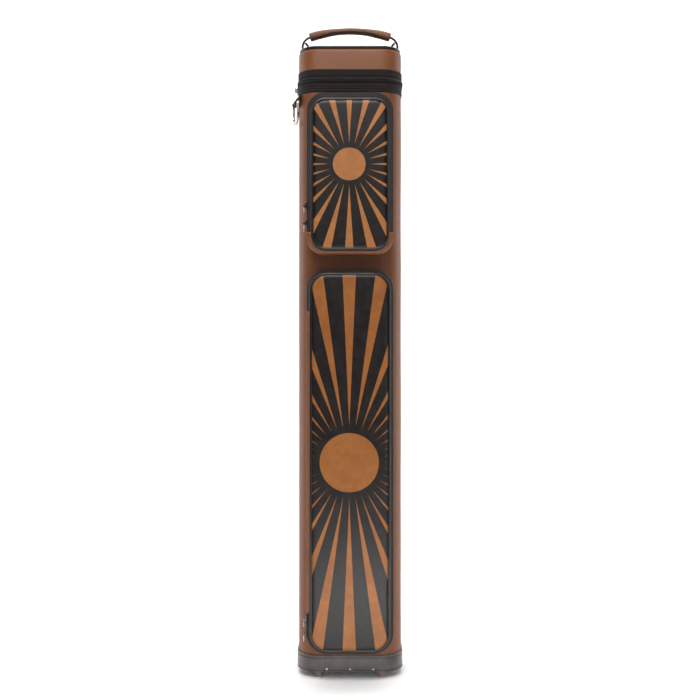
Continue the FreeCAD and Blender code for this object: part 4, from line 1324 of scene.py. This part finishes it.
# ---------------------------------------------------------------- floor, world, lights, camera (m)
def cyclorama():
    """Floor curving up into a wall behind the case."""
    m = Shader("studio_floor")
    m.surface(Base_Color=m.tint((0.80, 0.80, 0.80), (0.83, 0.83, 0.83), m.noise(3.0),
                                between=(0.3, 0.7)), Roughness=0.7)
    half_w, front_y, bend_y, bend_r, wall_top = 3.5, -3.2, 0.9, 0.9, 4.5
    profile = [(front_y, 0.0), (bend_y, 0.0)]
    profile += [(bend_y + bend_r * math.sin(a), bend_r - bend_r * math.cos(a))
                for a in np.linspace(0, math.pi / 2, 20)[1:]]
    profile.append((bend_y + bend_r, wall_top))
    n = len(profile)
    mesh = bpy.data.meshes.new("cyclorama")
    mesh.from_pydata([(x, y, z) for x in (-half_w, half_w) for y, z in profile], [],
                     [[i, i + n, i + n + 1, i + 1] for i in range(n - 1)])
    mesh.shade_smooth()
    mesh.materials.append(m.material)
    ob = bpy.data.objects.new("cyclorama", mesh)
    scene.collection.objects.link(ob)


def studio_world():
    """Dim for lighting, pale where the camera looks past the floor."""
    world = bpy.data.worlds.new("studio")
    scene.world = world
    world.use_nodes = True
    tree = world.node_tree
    background = tree.nodes["Background"]
    background.inputs["Color"].default_value = (1.0, 0.99, 0.98, 1)
    seen = tree.nodes.new("ShaderNodeLightPath").outputs["Is Camera Ray"]
    level = tree.nodes.new("ShaderNodeMapRange")
    tree.links.new(seen, level.inputs["Value"])
    level.inputs["To Min"].default_value = 0.09
    level.inputs["To Max"].default_value = 0.88
    tree.links.new(level.outputs["Result"], background.inputs["Strength"])


# name, place, target, width, height, watts, colour
WHITE = (1, 1, 1)
LIGHTS = (
    ("key_high", (-0.2, -1.35, 2.2), (0, 0, 0.35), 1.2, 0.8, 45, (1.0, 0.985, 0.96)),
    ("front_soft", (0.0, -2.3, 1.5), (0, 0, 0.75), 1.5, 0.7, 8, (1.0, 0.99, 0.98)),
    ("low_fill", (1.0, -1.5, 0.35), (0, 0, 0.3), 0.6, 0.5, 2.5, WHITE),
    ("side_left", (-1.15, 0.55, 0.6), (0, 0, 0.45), 0.45, 1.7, 8.8, WHITE),
    ("side_right", (1.15, 0.55, 0.6), (0, 0, 0.45), 0.45, 1.7, 9, WHITE),
    ("backdrop_light", (0.0, 0.5, 2.6), (0, 1.9, 0.7), 2.6, 0.5, 48, WHITE),
    ("low_glow", (0.04, -0.42, 0.05), (0.01, -0.05, 0.07), 0.34, 0.09, 0.62, WHITE),
    ("floor_light", (0.0, 0.9, 2.0), (0, 0.6, 0), 2.2, 0.8, 11, WHITE),
)


def area_light(name, place, target, width, height, watts, colour):
    light = bpy.data.lights.new(name, "AREA")
    light.shape, light.size, light.size_y = "RECTANGLE", width, height
    light.energy, light.color = watts, colour
    ob = bpy.data.objects.new(name, light)
    scene.collection.objects.link(ob)
    ob.location = place
    ob.rotation_euler = (Vector(target) - Vector(place)).to_track_quat("-Z", "Y").to_euler()


def camera():
    lens = bpy.data.cameras.new("camera")
    lens.lens, lens.sensor_width = 56.0, 36.0
    ob = bpy.data.objects.new("camera", lens)
    scene.collection.objects.link(ob)
    ob.location = (0.0, -1.548, 0.452)
    ob.rotation_euler = (math.pi / 2, 0, 0)
    scene.camera = ob


cyclorama()
studio_world()
for light_row in LIGHTS:
    area_light(*light_row)
camera()
scene.view_settings.view_transform = "Standard"
scene.view_settings.look = "None"
scene.view_settings.exposure = 0.0
